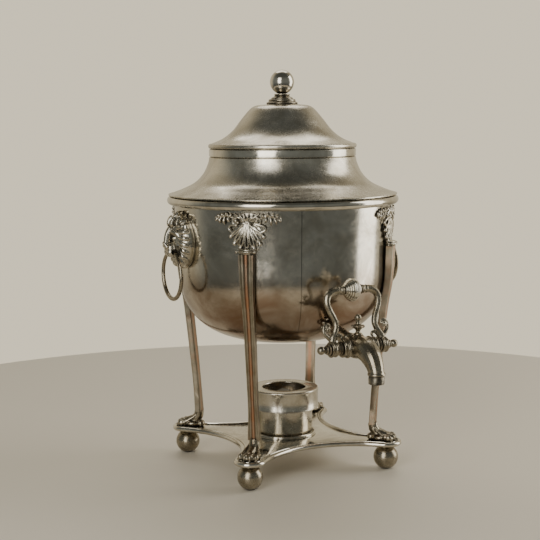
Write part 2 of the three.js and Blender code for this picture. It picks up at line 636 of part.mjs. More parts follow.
// ---------------------------------------------------------------- lion masks and rings: each on the X axis
function lionMask() {
  const wall = bowlRadiusAt(maskHeight);
  const tip = wall + MUZZLE_REACH;
  const muzzleHeight = ringPivotHeight + 3.4;
  const head = lump([wall - 1, 0, maskHeight + 2], [14.5, MASK_HALF_WIDTH - 4, MASK_HALF_HEIGHT - 7], 0, 2);
  const muzzle = lump([tip - 10.5, 0, muzzleHeight], [10.5, MUZZLE_HALF_WIDTH + 3, 9.5], 0, 2);
  const nose = lump([tip - 6.5, 0, muzzleHeight + 11], [5, 4.6, 11], 0, 1);
  const brow = lump([wall + 10.5, 0, maskHeight + 13], [5, 13, 5.5], 0, 1);
  const chin = lump([wall + 5, 0, ringPivotHeight - 9], [5.4, 8, 7], 0, 1);
  const ears = [-1, 1].map((side) => lump([wall + 5, side * 15, maskHeight + 18], [4.5, 4.5, 5], 0, 1));
  const tuftCount = 9;
  const tufts = Array.from({ length: tuftCount }, (_, i) => {
    const turn = degrees(lerp(-150, 150, i / (tuftCount - 1)));
    const [across, up] = [Math.sin(turn), Math.cos(turn)];
    const centre = [wall + 3, across * (MASK_HALF_WIDTH - 7), maskHeight + up * (MASK_HALF_HEIGHT - 8)];
    return lump(centre, [5, 4.2, 8], -turn);
  });
  const clearOfRing = ringPivotReach - RING_WIRE_RADIUS - 1.6;
  const beside = [-1, 1].map((side) => new THREE.BoxGeometry(20, 12, 21)
    .translate(clearOfRing + 10, side * (MUZZLE_HALF_WIDTH + 6), ringPivotHeight - 4));
  const below = new THREE.BoxGeometry(20, 40, 30)
    .translate(clearOfRing + 10, 0, ringPivotHeight - ringHoleRadius - 2 - 15);
  const ringHole = cylinder(ringHoleRadius, -30, 30, 14).rotateX(Math.PI / 2)
    .translate(ringPivotReach, 0, ringPivotHeight);
  const whole = join(head, muzzle, nose, brow, chin, ...ears, ...tufts);
  return toGeometry(cut(whole, bowlEnvelope(), ringHole, ...beside, below));
}

// Hangs in the plane across the X axis, with the top of its wire through the muzzle.
function handleRing() {
  return new THREE.TorusGeometry(RING_RADIUS, RING_WIRE_RADIUS, 7, 26).rotateY(Math.PI / 2)
    .translate(ringPivotReach, 0, ringPivotHeight - RING_RADIUS);
}

// ---------------------------------------------------------------- tap: its plug's middle is at 0, 0, 0
// Lays a turned piece, whose heights are distances from the plug, along the shank that rises to the bowl.
const placedAlongShank = (geometry) => geometry.rotateX(degrees(SHANK_TILT - 90));

// The distance from the plug to the bowl's outside wall along the shank.
function shankLength() {
  const slope = degrees(SHANK_TILT);
  let [near, far] = [0, tapReach / Math.cos(slope)];
  for (let step = 0; step < 40; step++) {
    const length = (near + far) / 2;
    const wall = bowlRadiusAt(Math.min(tapHeight + length * Math.sin(slope), BOWL_TOP_HEIGHT));
    if (tapReach - length * Math.cos(slope) > wall) near = length;
    else far = length;
  }
  return near;
}

// The spout's middle line: forwards, over and straight down.
function spoutPath() {
  return [
    [0, 0, 0], [0, -0.42 * SPOUT_REACH, -0.02 * SPOUT_DROP], [0, -0.78 * SPOUT_REACH, -0.24 * SPOUT_DROP],
    [0, -0.97 * SPOUT_REACH, -0.5 * SPOUT_DROP], [0, -SPOUT_REACH, -SPOUT_DROP + OUTLET_HEIGHT + 2],
  ];
}

function tapBody() {
  const flareTop = -SPOUT_DROP + OUTLET_HEIGHT + 3;
  const flareFoot = -SPOUT_DROP + OUTLET_HEIGHT + CLEARANCE;
  const spigot = OUTLET_RADIUS - 1 - CLEARANCE;
  const halfBarrel = [
    [SPOUT_ROOT_RADIUS + 0.5, 3], [BARREL_RADIUS + 1, 8], [BARREL_RADIUS - 1.4, BARREL_HALF_LENGTH - 3.4],
    [BARREL_RADIUS - 0.6, BARREL_HALF_LENGTH - 2.8], [BARREL_RADIUS - 0.6, BARREL_HALF_LENGTH],
    [0, BARREL_HALF_LENGTH],
  ];
  const otherHalf = halfBarrel.map(([radius, along]) => [radius, -along]).reverse();
  const barrel = turnedAlongX(turned([...otherHalf, ...halfBarrel], SMALL_SIDES));
  const shank = placedAlongShank(cylinder(SHANK_RADIUS, 0, shankLength() + SHANK_RADIUS, SMALL_SIDES));
  const spout = bar(spoutPath(), 6, 12, (share) => lerp(SPOUT_ROOT_RADIUS, SPOUT_TIP_RADIUS, share));
  const flare = turned([
    [0, flareTop], [SPOUT_TIP_RADIUS, flareTop], [OUTLET_RADIUS + 0.8, flareFoot + 0.6],
    [OUTLET_RADIUS + 0.8, flareFoot], [spigot, flareFoot], [spigot, -SPOUT_DROP], [0, -SPOUT_DROP],
  ], SMALL_SIDES).translate(0, -SPOUT_REACH, 0);
  const boss = cylinder(4.6, 0, SPOUT_ROOT_RADIUS + 1.2, 12);
  const plugBore = turnedAlongX(cylinder(PLUG_RADIUS + CLEARANCE, -30, 30, SMALL_SIDES));
  const inlet = placedAlongShank(cylinder(WATERWAY_RADIUS, 0, 2 * shankLength(), 10));
  const outlet = bar(spoutPath(), 6, 8, () => WATERWAY_RADIUS);
  const mouth = cylinder(WATERWAY_RADIUS, -SPOUT_DROP - 1, flareTop + 0.5, 8).translate(0, -SPOUT_REACH, 0);
  return toGeometry(cut(join(barrel, shank, spout, flare, boss), plugBore, inlet, outlet, mouth));
}

function tapOutlet() {
  const bottom = -SPOUT_DROP - 0.6;
  return tube(OUTLET_RADIUS - 1, OUTLET_RADIUS, bottom, bottom + OUTLET_HEIGHT, SMALL_SIDES)
    .translate(0, -SPOUT_REACH, 0);
}

// A turned rosette round the shank, shaped to the bowl behind it. It is cut in the urn's own frame.
function tapEscutcheon() {
  const wall = shankLength();
  const front = wall - ESCUTCHEON_REACH;
  const inside = SHANK_RADIUS + CLEARANCE;
  const rosette = turnedRing([
    [inside, front], [SHANK_RADIUS + 1.6, front], [SHANK_RADIUS + 2, front + 1.4],
    [ESCUTCHEON_RADIUS, front + 2.6], [ESCUTCHEON_RADIUS, wall + ESCUTCHEON_RADIUS],
    [inside, wall + ESCUTCHEON_RADIUS],
  ], SMALL_SIDES + 4);
  const placed = placedAlongShank(rosette).translate(0, -tapReach, tapHeight);
  return toGeometry(cut(toSolid(placed), bowlEnvelope())).translate(0, tapReach, -tapHeight);
}

function tapTopFinial() {
  const bottom = SPOUT_ROOT_RADIUS + 1.2 + CLEARANCE;
  const ball = 3.1;
  const top = arc(0, bottom + 14.6, ball, -60, 90, 5);
  top[top.length - 1][0] = 0;
  return turned([
    [0, bottom], [3.6, bottom], [2, bottom + 2.6], [5.4, bottom + 6.6], [5.6, bottom + 8],
    [2, bottom + 10.6], ...top,
  ], 12);
}

// The plug, closed while the handle stands upright: its cross hole then lies square to the waterway.
function tapPlug() {
  const collarStart = BARREL_HALF_LENGTH + CLEARANCE;
  const collarEnd = collarStart + PLUG_COLLAR_LENGTH;
  const spigotEnd = collarEnd + CLEARANCE + EYE_LENGTH + SPIGOT_END_LENGTH;
  const body = toSolid(turnedAlongX(turned([
    [0, -spigotEnd], [SPIGOT_RADIUS, -spigotEnd], [SPIGOT_RADIUS, -collarEnd],
    [PLUG_COLLAR_RADIUS, -collarEnd], [PLUG_COLLAR_RADIUS, -collarStart], [PLUG_RADIUS, -collarStart],
    [PLUG_RADIUS, BARREL_HALF_LENGTH], [SPIGOT_RADIUS, BARREL_HALF_LENGTH], [SPIGOT_RADIUS, spigotEnd],
    [0, spigotEnd],
  ], SMALL_SIDES)));
  const crossHole = cylinder(WATERWAY_RADIUS - 0.4, -20, 20, 10).rotateX(degrees(SHANK_TILT));
  return toGeometry(cut(body, crossHole));
}

function tapPlugSleeve() {
  const start = BARREL_HALF_LENGTH + CLEARANCE;
  const end = start + PLUG_COLLAR_LENGTH;
  return turnedAlongX(tube(SPIGOT_RADIUS + CLEARANCE, PLUG_COLLAR_RADIUS, start, end, SMALL_SIDES));
}

const eyeStart = BARREL_HALF_LENGTH + 2 * CLEARANCE + PLUG_COLLAR_LENGTH;

// A looped handle: an eye on each end of the plug, two curling arms and the bar between them.
function tapHandle() {
  const lean = (height) => (HANDLE_LEAN * height) / HANDLE_HEIGHT;
  const eyeMiddle = eyeStart + EYE_LENGTH / 2;
  const at = (across, height) => [across, lean(height), height];
  const arm = [
    at(eyeMiddle, 4.5), at(eyeMiddle - 2.6, 0.22 * HANDLE_HEIGHT),
    at(HANDLE_WAIST_HALF_WIDTH, 0.39 * HANDLE_HEIGHT),
    at(lerp(HANDLE_WAIST_HALF_WIDTH, HANDLE_HALF_WIDTH, 0.4), 0.6 * HANDLE_HEIGHT),
    at(HANDLE_HALF_WIDTH, 0.82 * HANDLE_HEIGHT),
    at(0.88 * HANDLE_HALF_WIDTH, 0.97 * HANDLE_HEIGHT), at(0.62 * HANDLE_HALF_WIDTH, HANDLE_HEIGHT),
    at(KNOB_HALF_LENGTH + 1, HANDLE_HEIGHT), at(0.5 * KNOB_HALF_LENGTH, HANDLE_HEIGHT),
  ];
  const mirrored = arm.map(([x, y, z]) => [-x, y, z]).reverse();
  const thickness = (share) => HANDLE_BAR_RADIUS + 0.5 * Math.abs(2 * share - 1) ** 3;
  const loop = bar([...arm, ...mirrored], 24, 8, thickness);
  const eyes = [-1, 1].flatMap((side) => {
    const curl = [
      at(side * eyeMiddle, 5), at(side * (eyeMiddle + 4.6), 0.2 * HANDLE_HEIGHT),
      at(side * (eyeMiddle + 7.6), 0.33 * HANDLE_HEIGHT), at(side * (eyeMiddle + 5), 0.42 * HANDLE_HEIGHT),
    ];
    const ends = [side * eyeStart, side * (eyeStart + EYE_LENGTH)].sort((a, b) => a - b);
    return [
      turnedAlongX(cylinder(EYE_RADIUS, ...ends, SMALL_SIDES)),
      bar(curl, 4, 6, (share) => 2.2 - 0.7 * share),
      lump(at(side * (eyeMiddle + 4.4), 0.41 * HANDLE_HEIGHT), [2.6, 3.6, 3.6], 0, 1),
    ];
  });
  const bore = turnedAlongX(cylinder(SPIGOT_RADIUS + CLEARANCE, -40, 40, SMALL_SIDES));
  const collarRoom = PLUG_COLLAR_RADIUS + 2 * CLEARANCE;
  const collars = turnedAlongX(cylinder(collarRoom, -eyeStart, eyeStart, SMALL_SIDES));
  return toGeometry(cut(join(loop, ...eyes), bore, collars));
}

// The reeded grip in the middle of the bar.
function handleKnob() {
  const inside = HANDLE_BAR_RADIUS + CLEARANCE + 0.1;
  const half = [
    [inside, KNOB_HALF_LENGTH], [4.4, KNOB_HALF_LENGTH], [4.8, KNOB_HALF_LENGTH - 2.2],
    [KNOB_RADIUS - 2.2, 0.5 * KNOB_HALF_LENGTH], [KNOB_RADIUS - 0.5, 0.28 * KNOB_HALF_LENGTH],
    [KNOB_RADIUS, 0],
  ];
  const other = half.slice(0, -1).reverse().map(([radius, along]) => [radius, -along]);
  const knob = turnedAlongX(turnedRing([...half, ...other], SMALL_SIDES + 4));
  return knob.translate(0, HANDLE_LEAN, HANDLE_HEIGHT);
}

// A ball nut that holds a handle eye on its spigot. It points along +X.
function endFinial() {
  const start = eyeStart + EYE_LENGTH + CLEARANCE;
  const bore = SPIGOT_RADIUS + CLEARANCE;
  const boreEnd = eyeStart + EYE_LENGTH + SPIGOT_END_LENGTH + CLEARANCE;
  const ball = arc(0, start + 4.8 + 0.9 * END_BALL_RADIUS, END_BALL_RADIUS, -55, 90, 6);
  ball[ball.length - 1][0] = 0;
  return turnedAlongX(turned([
    [0, boreEnd], [bore, boreEnd], [bore, start], [5.2, start], [5.2, start + 1.4], [3.9, start + 2.4],
    [3.9, start + 4.6], ...ball,
  ], SMALL_SIDES));
}

// ---------------------------------------------------------------- spirit lamp
const lampSeatFloor = plateTop + CLEARANCE;
const lampPotTop = LAMP_TOP_HEIGHT - LAMP_COVER_WALL - CLEARANCE;

function lampSeat() {
  const inside = LAMP_POT_RADIUS + SLIDING_GAP + 0.6;
  return tube(inside, inside + LAMP_SEAT_WIDTH, lampSeatFloor, lampSeatFloor + LAMP_SEAT_HEIGHT, WIDE_SIDES);
}

function lampPot() {
  const bottom = lampSeatFloor;
  const inside = LAMP_POT_RADIUS - LAMP_POT_WALL;
  return turned([
    [0, bottom], [LAMP_POT_RADIUS, bottom], [LAMP_POT_RADIUS, lampPotTop], [inside, lampPotTop],
    [inside, bottom + LAMP_POT_WALL], [0, bottom + LAMP_POT_WALL],
  ], WIDE_SIDES);
}

function lampCover() {
  const bottom = LAMP_TOP_HEIGHT - LAMP_COVER_DEPTH;
  const inside = lampCoverRadius - LAMP_COVER_WALL;
  return turnedRing([
    [inside, bottom], [lampCoverRadius, bottom], [lampCoverRadius, LAMP_TOP_HEIGHT - 0.8],
    [lampCoverRadius - 0.8, LAMP_TOP_HEIGHT], [LAMP_MOUTH_RADIUS, LAMP_TOP_HEIGHT],
    [LAMP_MOUTH_RADIUS, LAMP_TOP_HEIGHT - LAMP_COVER_WALL], [inside, LAMP_TOP_HEIGHT - LAMP_COVER_WALL],
  ], WIDE_SIDES);
}

function lampBurner() {
  const height = lampPotTop - BURNER_DEPTH;
  const rim = LAMP_POT_RADIUS - LAMP_POT_WALL - CLEARANCE;
  const inside = WICK_TUBE_RADIUS - WICK_TUBE_WALL;
  return turnedRing([
    [inside, height - 12], [WICK_TUBE_RADIUS, height - 12], [WICK_TUBE_RADIUS, height - 1.2],
    [rim, height - 1.2], [rim, height], [WICK_TUBE_RADIUS, height], [WICK_TUBE_RADIUS, height + 5],
    [inside, height + 5],
  ], WIDE_SIDES);
}

function lampWick() {
  const height = lampPotTop - BURNER_DEPTH;
  const radius = WICK_TUBE_RADIUS - WICK_TUBE_WALL - CLEARANCE;
  return cylinder(radius, height - 18, height + 6.5, 12);
}

// ---------------------------------------------------------------- the assembly
const urn = new THREE.Group();

function add(group, name, geometry, material) {
  const mesh = new THREE.Mesh(closedSkin(geometry), material);
  mesh.name = name;
  group.add(mesh);
}

function turnedGroup(angle) {
  const group = new THREE.Group();
  group.rotation.z = degrees(angle);
  urn.add(group);
  return group;
}

add(urn, 'bowl', bowl(), bodySilver());
add(urn, 'rim_bead', rimBead(), castSilver());
add(urn, 'shoulder', shoulder(), bodySilver());
add(urn, 'neck_collar', neckCollar(), brightSilver());
add(urn, 'lid_dome', lidDome(), bodySilver());
add(urn, 'lid_bezel', lidBezel(), bodySilver());
add(urn, 'finial_button', finialButton(), castSilver());
add(urn, 'finial_ball', finialBall(), castSilver());
add(urn, 'finial_nut', finialNut(), brass());
add(urn, 'base_plate', basePlate(), bodySilver());
add(urn, 'plate_edge', plateEdge(), castSilver());

const corners = { front_left: 225, front_right: 315, back_right: 45, back_left: 135 };
for (const [corner, angle] of Object.entries(corners)) {
  const group = turnedGroup(angle);
  add(group, `foot_ball_${corner}`, footBall(), castSilver());
  add(group, `paw_${corner}`, pawFoot(), castSilver());
  add(group, `leg_${corner}`, leg(), wornCopper());
  add(group, `capital_${corner}`, capital(), castSilver());
}

for (const [side, angle] of Object.entries({ right: 0, left: 180 })) {
  const group = turnedGroup(angle);
  add(group, `lion_mask_${side}`, lionMask(), castSilver());
  add(group, `ring_handle_${side}`, handleRing(), castSilver());
}

const tap = new THREE.Group();
tap.position.set(0, -tapReach, tapHeight);
urn.add(tap);
add(tap, 'tap_body', tapBody(), castSilver());
add(tap, 'tap_outlet', tapOutlet(), darkSteel());
add(tap, 'tap_escutcheon', tapEscutcheon(), castSilver());
add(tap, 'tap_top_finial', tapTopFinial(), castSilver());
add(tap, 'tap_plug', tapPlug(), brass());
add(tap, 'tap_plug_sleeve', tapPlugSleeve(), castSilver());
add(tap, 'tap_handle', tapHandle(), castSilver());
add(tap, 'tap_handle_knob', handleKnob(), castSilver());
add(tap, 'tap_end_finial_right', endFinial(), castSilver());
add(tap, 'tap_end_finial_left', endFinial().rotateZ(Math.PI), castSilver());

add(urn, 'lamp_seat', lampSeat(), castSilver());
add(urn, 'lamp_pot', lampPot(), brightSilver());
add(urn, 'lamp_cover', lampCover(), brightSilver());
add(urn, 'lamp_burner', lampBurner(), brass());
add(urn, 'lamp_wick', lampWick(), cotton());

// The tap reaches out in front, so the bowl's axis stands behind the middle of the box.
const box = new THREE.Box3().setFromObject(urn);
urn.position.y = -(box.min.y + box.max.y) / 2;

const hotDrinksUrn = new THREE.Group();
hotDrinksUrn.add(urn);
export default hotDrinksUrn;
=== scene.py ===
"""The outer surfaces and the studio for a silver-plated hot-drinks urn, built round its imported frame."""

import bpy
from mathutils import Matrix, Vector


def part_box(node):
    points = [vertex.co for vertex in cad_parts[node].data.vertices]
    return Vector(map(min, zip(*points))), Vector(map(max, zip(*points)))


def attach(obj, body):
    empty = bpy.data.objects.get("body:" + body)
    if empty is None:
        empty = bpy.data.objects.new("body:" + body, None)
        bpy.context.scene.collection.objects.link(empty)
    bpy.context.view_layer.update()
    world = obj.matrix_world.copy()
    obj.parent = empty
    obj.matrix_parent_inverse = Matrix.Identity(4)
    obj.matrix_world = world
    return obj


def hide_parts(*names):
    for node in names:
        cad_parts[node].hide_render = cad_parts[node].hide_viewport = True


bl_info = {
    "name": "Silver Plated Urn",
    "version": (1, 0, 0),
    "blender": (4, 5, 0),
    "location": "View3D > Sidebar > Urn",
    "description": "Models a lidded silver-plated urn on four reeded legs, with its tap and spirit lamp",
    "category": "Add Mesh",
}

from math import acos, atan2, cos, degrees, hypot, pi, radians, sin, sqrt

import bpy
from mathutils import Euler, Matrix, Vector

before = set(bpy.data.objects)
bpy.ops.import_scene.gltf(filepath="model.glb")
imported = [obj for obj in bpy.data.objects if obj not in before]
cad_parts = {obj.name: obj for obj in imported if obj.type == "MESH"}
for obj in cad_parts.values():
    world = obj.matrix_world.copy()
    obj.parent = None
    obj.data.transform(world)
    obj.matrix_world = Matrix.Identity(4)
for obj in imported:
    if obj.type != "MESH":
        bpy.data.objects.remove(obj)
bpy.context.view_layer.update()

# ---------------------------------------------------------------- places taken from the frame, in millimetres
MM = 0.001  # one millimetre in Blender's metres


def limits(node):
    """The lowest and highest corners of a CAD node, in millimetres from the urn's own axis."""
    low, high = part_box(node)
    return [Vector(corner) / MM - Vector((0, AXIS_Y, 0)) for corner in (low, high)]


AXIS_Y = (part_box("bowl")[0][1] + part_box("bowl")[1][1]) / 2 / MM
BOWL_LOW, BOWL_HIGH = limits("bowl")
RIM_LOW, RIM_HIGH = limits("rim_bead")
NECK_LOW, NECK_HIGH = limits("neck_collar")
LID_LOW, LID_HIGH = limits("lid_dome")
BALL_LOW, BALL_HIGH = limits("finial_ball")
PLATE_LOW, PLATE_HIGH = limits("base_plate")
COVER_LOW, COVER_HIGH = limits("lamp_cover")
POT_LOW, POT_HIGH = limits("lamp_pot")
LEG_LOW, LEG_HIGH = limits("leg_back_right")

BELLY_HEIGHT = 205  # where the straight flare of the bowl ends and its round bottom begins
BOTTOM_SQUARENESS = 2.85  # 2 would be an ellipse, more is squarer
BELLY_SHARE = 0.9656  # the belly's radius over the mouth's
BOWL_WALL = 1.4
SHEET = 1.2  # the shoulder's and the lid's metal
TAP_REACH = 141  # from the urn's axis to the middle of the tap's plug
TAP_HEIGHT = 136
SHANK_RISE = 12  # degrees, up towards the bowl
SPOUT_REACH = 30.5
SPOUT_DROP = 26.5
HANDLE_HEIGHT = 49
HANDLE_LEAN = 11
RING_PIVOT = (115.6, 0, 212.6)
RING_HOLE_RADIUS = 3.1
FOOT_CIRCLE = 102.2
NECK_HEIGHT = 7.9
BEZEL_WALL = 1.1
STUD_RADIUS = 2.3  # of the finial's stud
LEG_TOP_REACH = 106.1  # from the urn's axis to a leg's middle line
LEG_FOOT_REACH = 89.3
LEG_THICKNESS = 7.4
WIRE_RADIUS = 2.4  # of the moulding round the base plate
MASK_HEIGHT = 220  # where the masks meet the bowl's wall
HEAD_HEIGHT = 222  # the middle of the lion's head
HEAD_HALF_WIDTH = 20.4
HEAD_HALF_HEIGHT = 25.6
SHANK_RADIUS = 6.5
POT_WALL = 1.2

CAMERA_AZIMUTH = -27.338  # degrees round the urn from the tap's side
CAMERA_DISTANCE = 1.16119  # metres from the urn's axis
CAMERA_HEIGHT = 0.33263
CAMERA_YAW = 0.627  # degrees off the line to the axis
CAMERA_PITCH = 7.081  # degrees down
CAMERA_ROLL = -0.433
CAMERA_LENS = 80.55  # millimetres, on a sensor 36 mm wide
PALE_WALL = (0.459, 0.888, 0)  # the way to the pale wall behind the urn
CORNERS = {"front_left": 225, "front_right": 315, "back_right": 45, "back_left": 135}
SIDES = {"right": 0, "left": 180}


# ---------------------------------------------------------------- sizes and colours a user may change
class UrnSizes(bpy.types.PropertyGroup):
    """Sizes of the visible surfaces."""

    mouth_radius: bpy.props.FloatProperty(
        name="Bowl mouth radius", description="Outside radius of the bowl at its top edge",
        default=BOWL_HIGH.x * MM, min=0.05, max=0.2, precision=4, unit="LENGTH")
    rim_bead_radius: bpy.props.FloatProperty(
        name="Rim bead radius", description="Radius of the rolled bead under the shoulder",
        default=0.0041, min=0.001, max=0.01, precision=4, unit="LENGTH")
    neck_radius: bpy.props.FloatProperty(
        name="Neck radius", description="Outside radius of the neck below the lid",
        default=0.0689, min=0.03, max=0.1, precision=4, unit="LENGTH")
    finial_ball_radius: bpy.props.FloatProperty(
        name="Finial ball radius", description="Radius of the ball on top of the lid",
        default=0.0115, min=0.005, max=0.02, precision=4, unit="LENGTH")
    foot_ball_radius: bpy.props.FloatProperty(
        name="Foot ball radius", description="Radius of each ball foot",
        default=0.0118, min=0.005, max=0.02, precision=4, unit="LENGTH")
    leg_width: bpy.props.FloatProperty(
        name="Leg width", description="Width of a reeded leg at its top",
        default=0.0138, min=0.006, max=0.03, precision=4, unit="LENGTH")
    ring_radius: bpy.props.FloatProperty(
        name="Ring radius", description="Radius of a ring handle, to the middle of its wire",
        default=0.022, min=0.01, max=0.03, precision=4, unit="LENGTH")
    ring_wire_radius: bpy.props.FloatProperty(
        name="Ring wire radius", description="Radius of a ring handle's wire",
        default=0.0018, min=0.0008, max=0.004, precision=4, unit="LENGTH")
    knob_radius: bpy.props.FloatProperty(
        name="Tap knob radius", description="Radius of the reeded knob on the tap's handle",
        default=0.0104, min=0.004, max=0.02, precision=4, unit="LENGTH")
    ornament_grain: bpy.props.FloatProperty(
        name="Ornament grain", description="Finest detail kept in the cast ornament",
        default=0.00042, min=0.0002, max=0.002, precision=5, unit="LENGTH")
    round_steps: bpy.props.IntProperty(
        name="Round steps", description="Facets round the bowl and other large turned pieces",
        default=144, min=24, max=256)


class UrnColours(bpy.types.PropertyGroup):
    """Colours of the metals, the wick and the studio."""

    clean_silver: bpy.props.StringProperty(
        name="Clean silver", description="Rubbed silver plate, as an sRGB hex value", default="#d8d2c4")
    dull_silver: bpy.props.StringProperty(
        name="Dull silver", description="Tarnished silver plate, as an sRGB hex value", default="#a29a88")
    smoky_silver: bpy.props.StringProperty(
        name="Smoky silver", description="Heavily tarnished silver plate, as an sRGB hex value",
        default="#756b58")
    dark_tarnish: bpy.props.StringProperty(
        name="Dark tarnish", description="Black tarnish in the hollows, as an sRGB hex value",
        default="#2c2822")
    copper: bpy.props.StringProperty(
        name="Copper", description="Bare copper where the silver is gone, as an sRGB hex value",
        default="#b87f5c")
    heat_stain: bpy.props.StringProperty(
        name="Heat stain", description="The bowl's underside over the flame, as an sRGB hex value",
        default="#7d6450")
    brass: bpy.props.StringProperty(
        name="Brass", description="Dull brass of the hidden fittings, as an sRGB hex value",
        default="#a98a50")
    cotton: bpy.props.StringProperty(
        name="Cotton", description="Wick yarn, as an sRGB hex value", default="#d9ceb6")
    floor: bpy.props.StringProperty(
        name="Floor", description="Plain floor, as an sRGB hex value", default="#dcd3c1")
    room: bpy.props.StringProperty(
        name="Room", description="Dim room in front, as an sRGB hex value", default="#c4c9c4")
    backdrop: bpy.props.StringProperty(
        name="Backdrop", description="Pale wall behind, as an sRGB hex value", default="#ddd2b8")


def millimetres(name):
    """A size from the panel, in millimetres."""
    return getattr(bpy.context.scene.urn_sizes, name) / MM


def colour(name):
    """A colour from the panel, turned from sRGB hex to linear values."""
    text = getattr(bpy.context.scene.urn_colours, name).lstrip("#")
    channels = [int(text[i:i + 2], 16) / 255 for i in (0, 2, 4)]
    linear = [c / 12.92 if c <= 0.04045 else ((c + 0.055) / 1.055) ** 2.4 for c in channels]
    return (*linear, 1)


# ---------------------------------------------------------------- points
def mix(a, b, share):
    return a + (b - a) * share


def bowl_radius(height):
    """The bowl's outside radius at a height."""
    mouth = millimetres("mouth_radius")
    belly = mouth * BELLY_SHARE
    if height >= BELLY_HEIGHT:
        return mix(belly, mouth, (height - BELLY_HEIGHT) / (BOWL_HIGH.z - BELLY_HEIGHT))
    depth = (BELLY_HEIGHT - height) / (BELLY_HEIGHT - BOWL_LOW.z)
    return belly * max(1 - depth ** BOTTOM_SQUARENESS, 0) ** (1 / BOTTOM_SQUARENESS)


def on_bowl(across, height, out=0.0, heading=0.0):
    """A point on the bowl's wall, in millimetres round it from a heading in degrees, and standing out."""
    radius = bowl_radius(height)
    angle = radians(heading) + across / radius
    return Vector(((radius + out) * cos(angle), (radius + out) * sin(angle), height))


def arc(centre, radius, start, end, steps):
    """Points [radius, height] on an arc, its angles in degrees."""
    angles = [radians(mix(start, end, i / steps)) for i in range(steps + 1)]
    return [(centre[0] + radius * cos(a), centre[1] + radius * sin(a)) for a in angles]


def flowing(points, steps):
    """A smooth curve through points of any dimension, with some steps between each two."""
    points = [Vector(p) for p in points]
    ends = [2 * points[0] - points[1], *points, 2 * points[-1] - points[-2]]
    curve = []
    for before, start, end, after in zip(ends, ends[1:], ends[2:], ends[3:]):
        for i in range(steps):
            t = i / steps
            curve.append(0.5 * (2 * start + (end - before) * t
                                + (2 * before - 5 * start + 4 * end - after) * t ** 2
                                + (3 * start - before - 3 * end + after) * t ** 3))
    return [*curve, points[-1]]


def thickened(outline, wall):
    """An outline of [radius, height] and, back from its end, the same moved to its left by a wall."""
    inner = []
    for i, (radius, height) in enumerate(outline):
        r0, h0 = outline[max(i - 1, 0)]
        r1, h1 = outline[min(i + 1, len(outline) - 1)]
        length = hypot(r1 - r0, h1 - h0)
        inner.append((max(radius - wall * (h1 - h0) / length, 0) if radius > 1e-6 else 0,
                      height + wall * (r1 - r0) / length))
    return [*outline, *reversed(inner)]


# ---------------------------------------------------------------- modelling steps
def put_down():
    """Leaves edit mode with nothing selected."""
    if bpy.context.mode != "OBJECT":
        bpy.ops.object.mode_set(mode="OBJECT")
    bpy.ops.object.select_all(action="DESELECT")


def pick_up(*objects):
    """Selects only these objects, the first one active."""
    put_down()
    for each in objects:
        each.select_set(True)
    bpy.context.view_layer.objects.active = objects[0]


def start_point(name, place):
    """A new mesh, in edit mode, of one selected point."""
    put_down()
    bpy.ops.mesh.primitive_plane_add(size=1)
    piece = bpy.context.object
    piece.name = name
    bpy.ops.object.mode_set(mode="EDIT")
    bpy.ops.mesh.select_all(action="SELECT")
    bpy.ops.mesh.merge(type="CENTER")
    bpy.ops.transform.translate(value=place)
    return piece


def trace(name, points, closed=False):
    """Draws a line through points, each extruded from the last. It is left in edit mode, all selected."""
    piece = start_point(name, points[0])
    path = [*points, points[0]] if closed else points
    for a, b in zip(path, path[1:]):
        bpy.ops.mesh.extrude_vertices_move(TRANSFORM_OT_translate={"value": Vector(b) - Vector(a)})
    bpy.ops.mesh.select_all(action="SELECT")
    bpy.ops.mesh.remove_doubles(threshold=1e-4)
    return piece


def tidy_skin():
    """In edit mode: merges doubles, drops empty faces and points the faces outwards."""
    bpy.ops.mesh.select_all(action="SELECT")
    bpy.ops.mesh.remove_doubles(threshold=1e-3)
    bpy.ops.mesh.dissolve_degenerate(threshold=1e-4)
    bpy.ops.mesh.select_all(action="SELECT")
    bpy.ops.mesh.normals_make_consistent(inside=False)
    bpy.ops.object.mode_set(mode="OBJECT")


def spun(name, outline, steps=None, ring=False):
    """Turns an outline of [radius, height] round the Z axis. A ring's outline is a loop clear of the axis."""
    piece = trace(name, [(radius, 0, height) for radius, height in outline], closed=ring)
    bpy.ops.mesh.spin(steps=steps or bpy.context.scene.urn_sizes.round_steps, angle=2 * pi,
                      center=(0, 0, 0), axis=(0, 0, 1))
    tidy_skin()
    return piece


def rod(name, points, radii, sides=10, closed=False):
    """A round bar along points, its radius changing evenly between those given."""
    put_down()
    bpy.ops.curve.primitive_bezier_curve_add()
    piece = bpy.context.object
    piece.name = name
    line = piece.data
    line.splines.clear()
    spline = line.splines.new("POLY")
    spline.points.add(len(points) - 1)
    last = len(points) - 1
    for i, point in enumerate(points):
        place = i / last * (len(radii) - 1)
        low = min(int(place), len(radii) - 2)
        spline.points[i].co = (*point, 1)
        spline.points[i].radius = mix(radii[low], radii[low + 1], place - low)
    spline.use_cyclic_u = closed
    line.dimensions = "3D"
    line.bevel_depth = 1
    line.bevel_resolution = max(sides // 4, 1)
    line.use_fill_caps = not closed
    bpy.ops.object.convert(target="MESH")
    return bpy.context.object


def lumps(name, places, fine=False):
    """Stretched balls in one mesh: for each a centre, three half sizes and, if turned, its degrees."""
    put_down()
    segments, rings = (32, 18) if fine else (18, 10)
    piece = None
    for centre, size, *turn in places:
        angles = [radians(a) for a in turn[0]] if turn else (0, 0, 0)
        bpy.ops.mesh.primitive_uv_sphere_add(
            segments=segments, ring_count=rings, radius=1, location=centre, rotation=angles, scale=size)
        if piece is None:
            piece = bpy.context.object
            piece.name = name
            bpy.ops.object.transform_apply(location=True, rotation=True, scale=True)
            bpy.ops.object.mode_set(mode="EDIT")
    bpy.ops.object.mode_set(mode="OBJECT")
    return piece


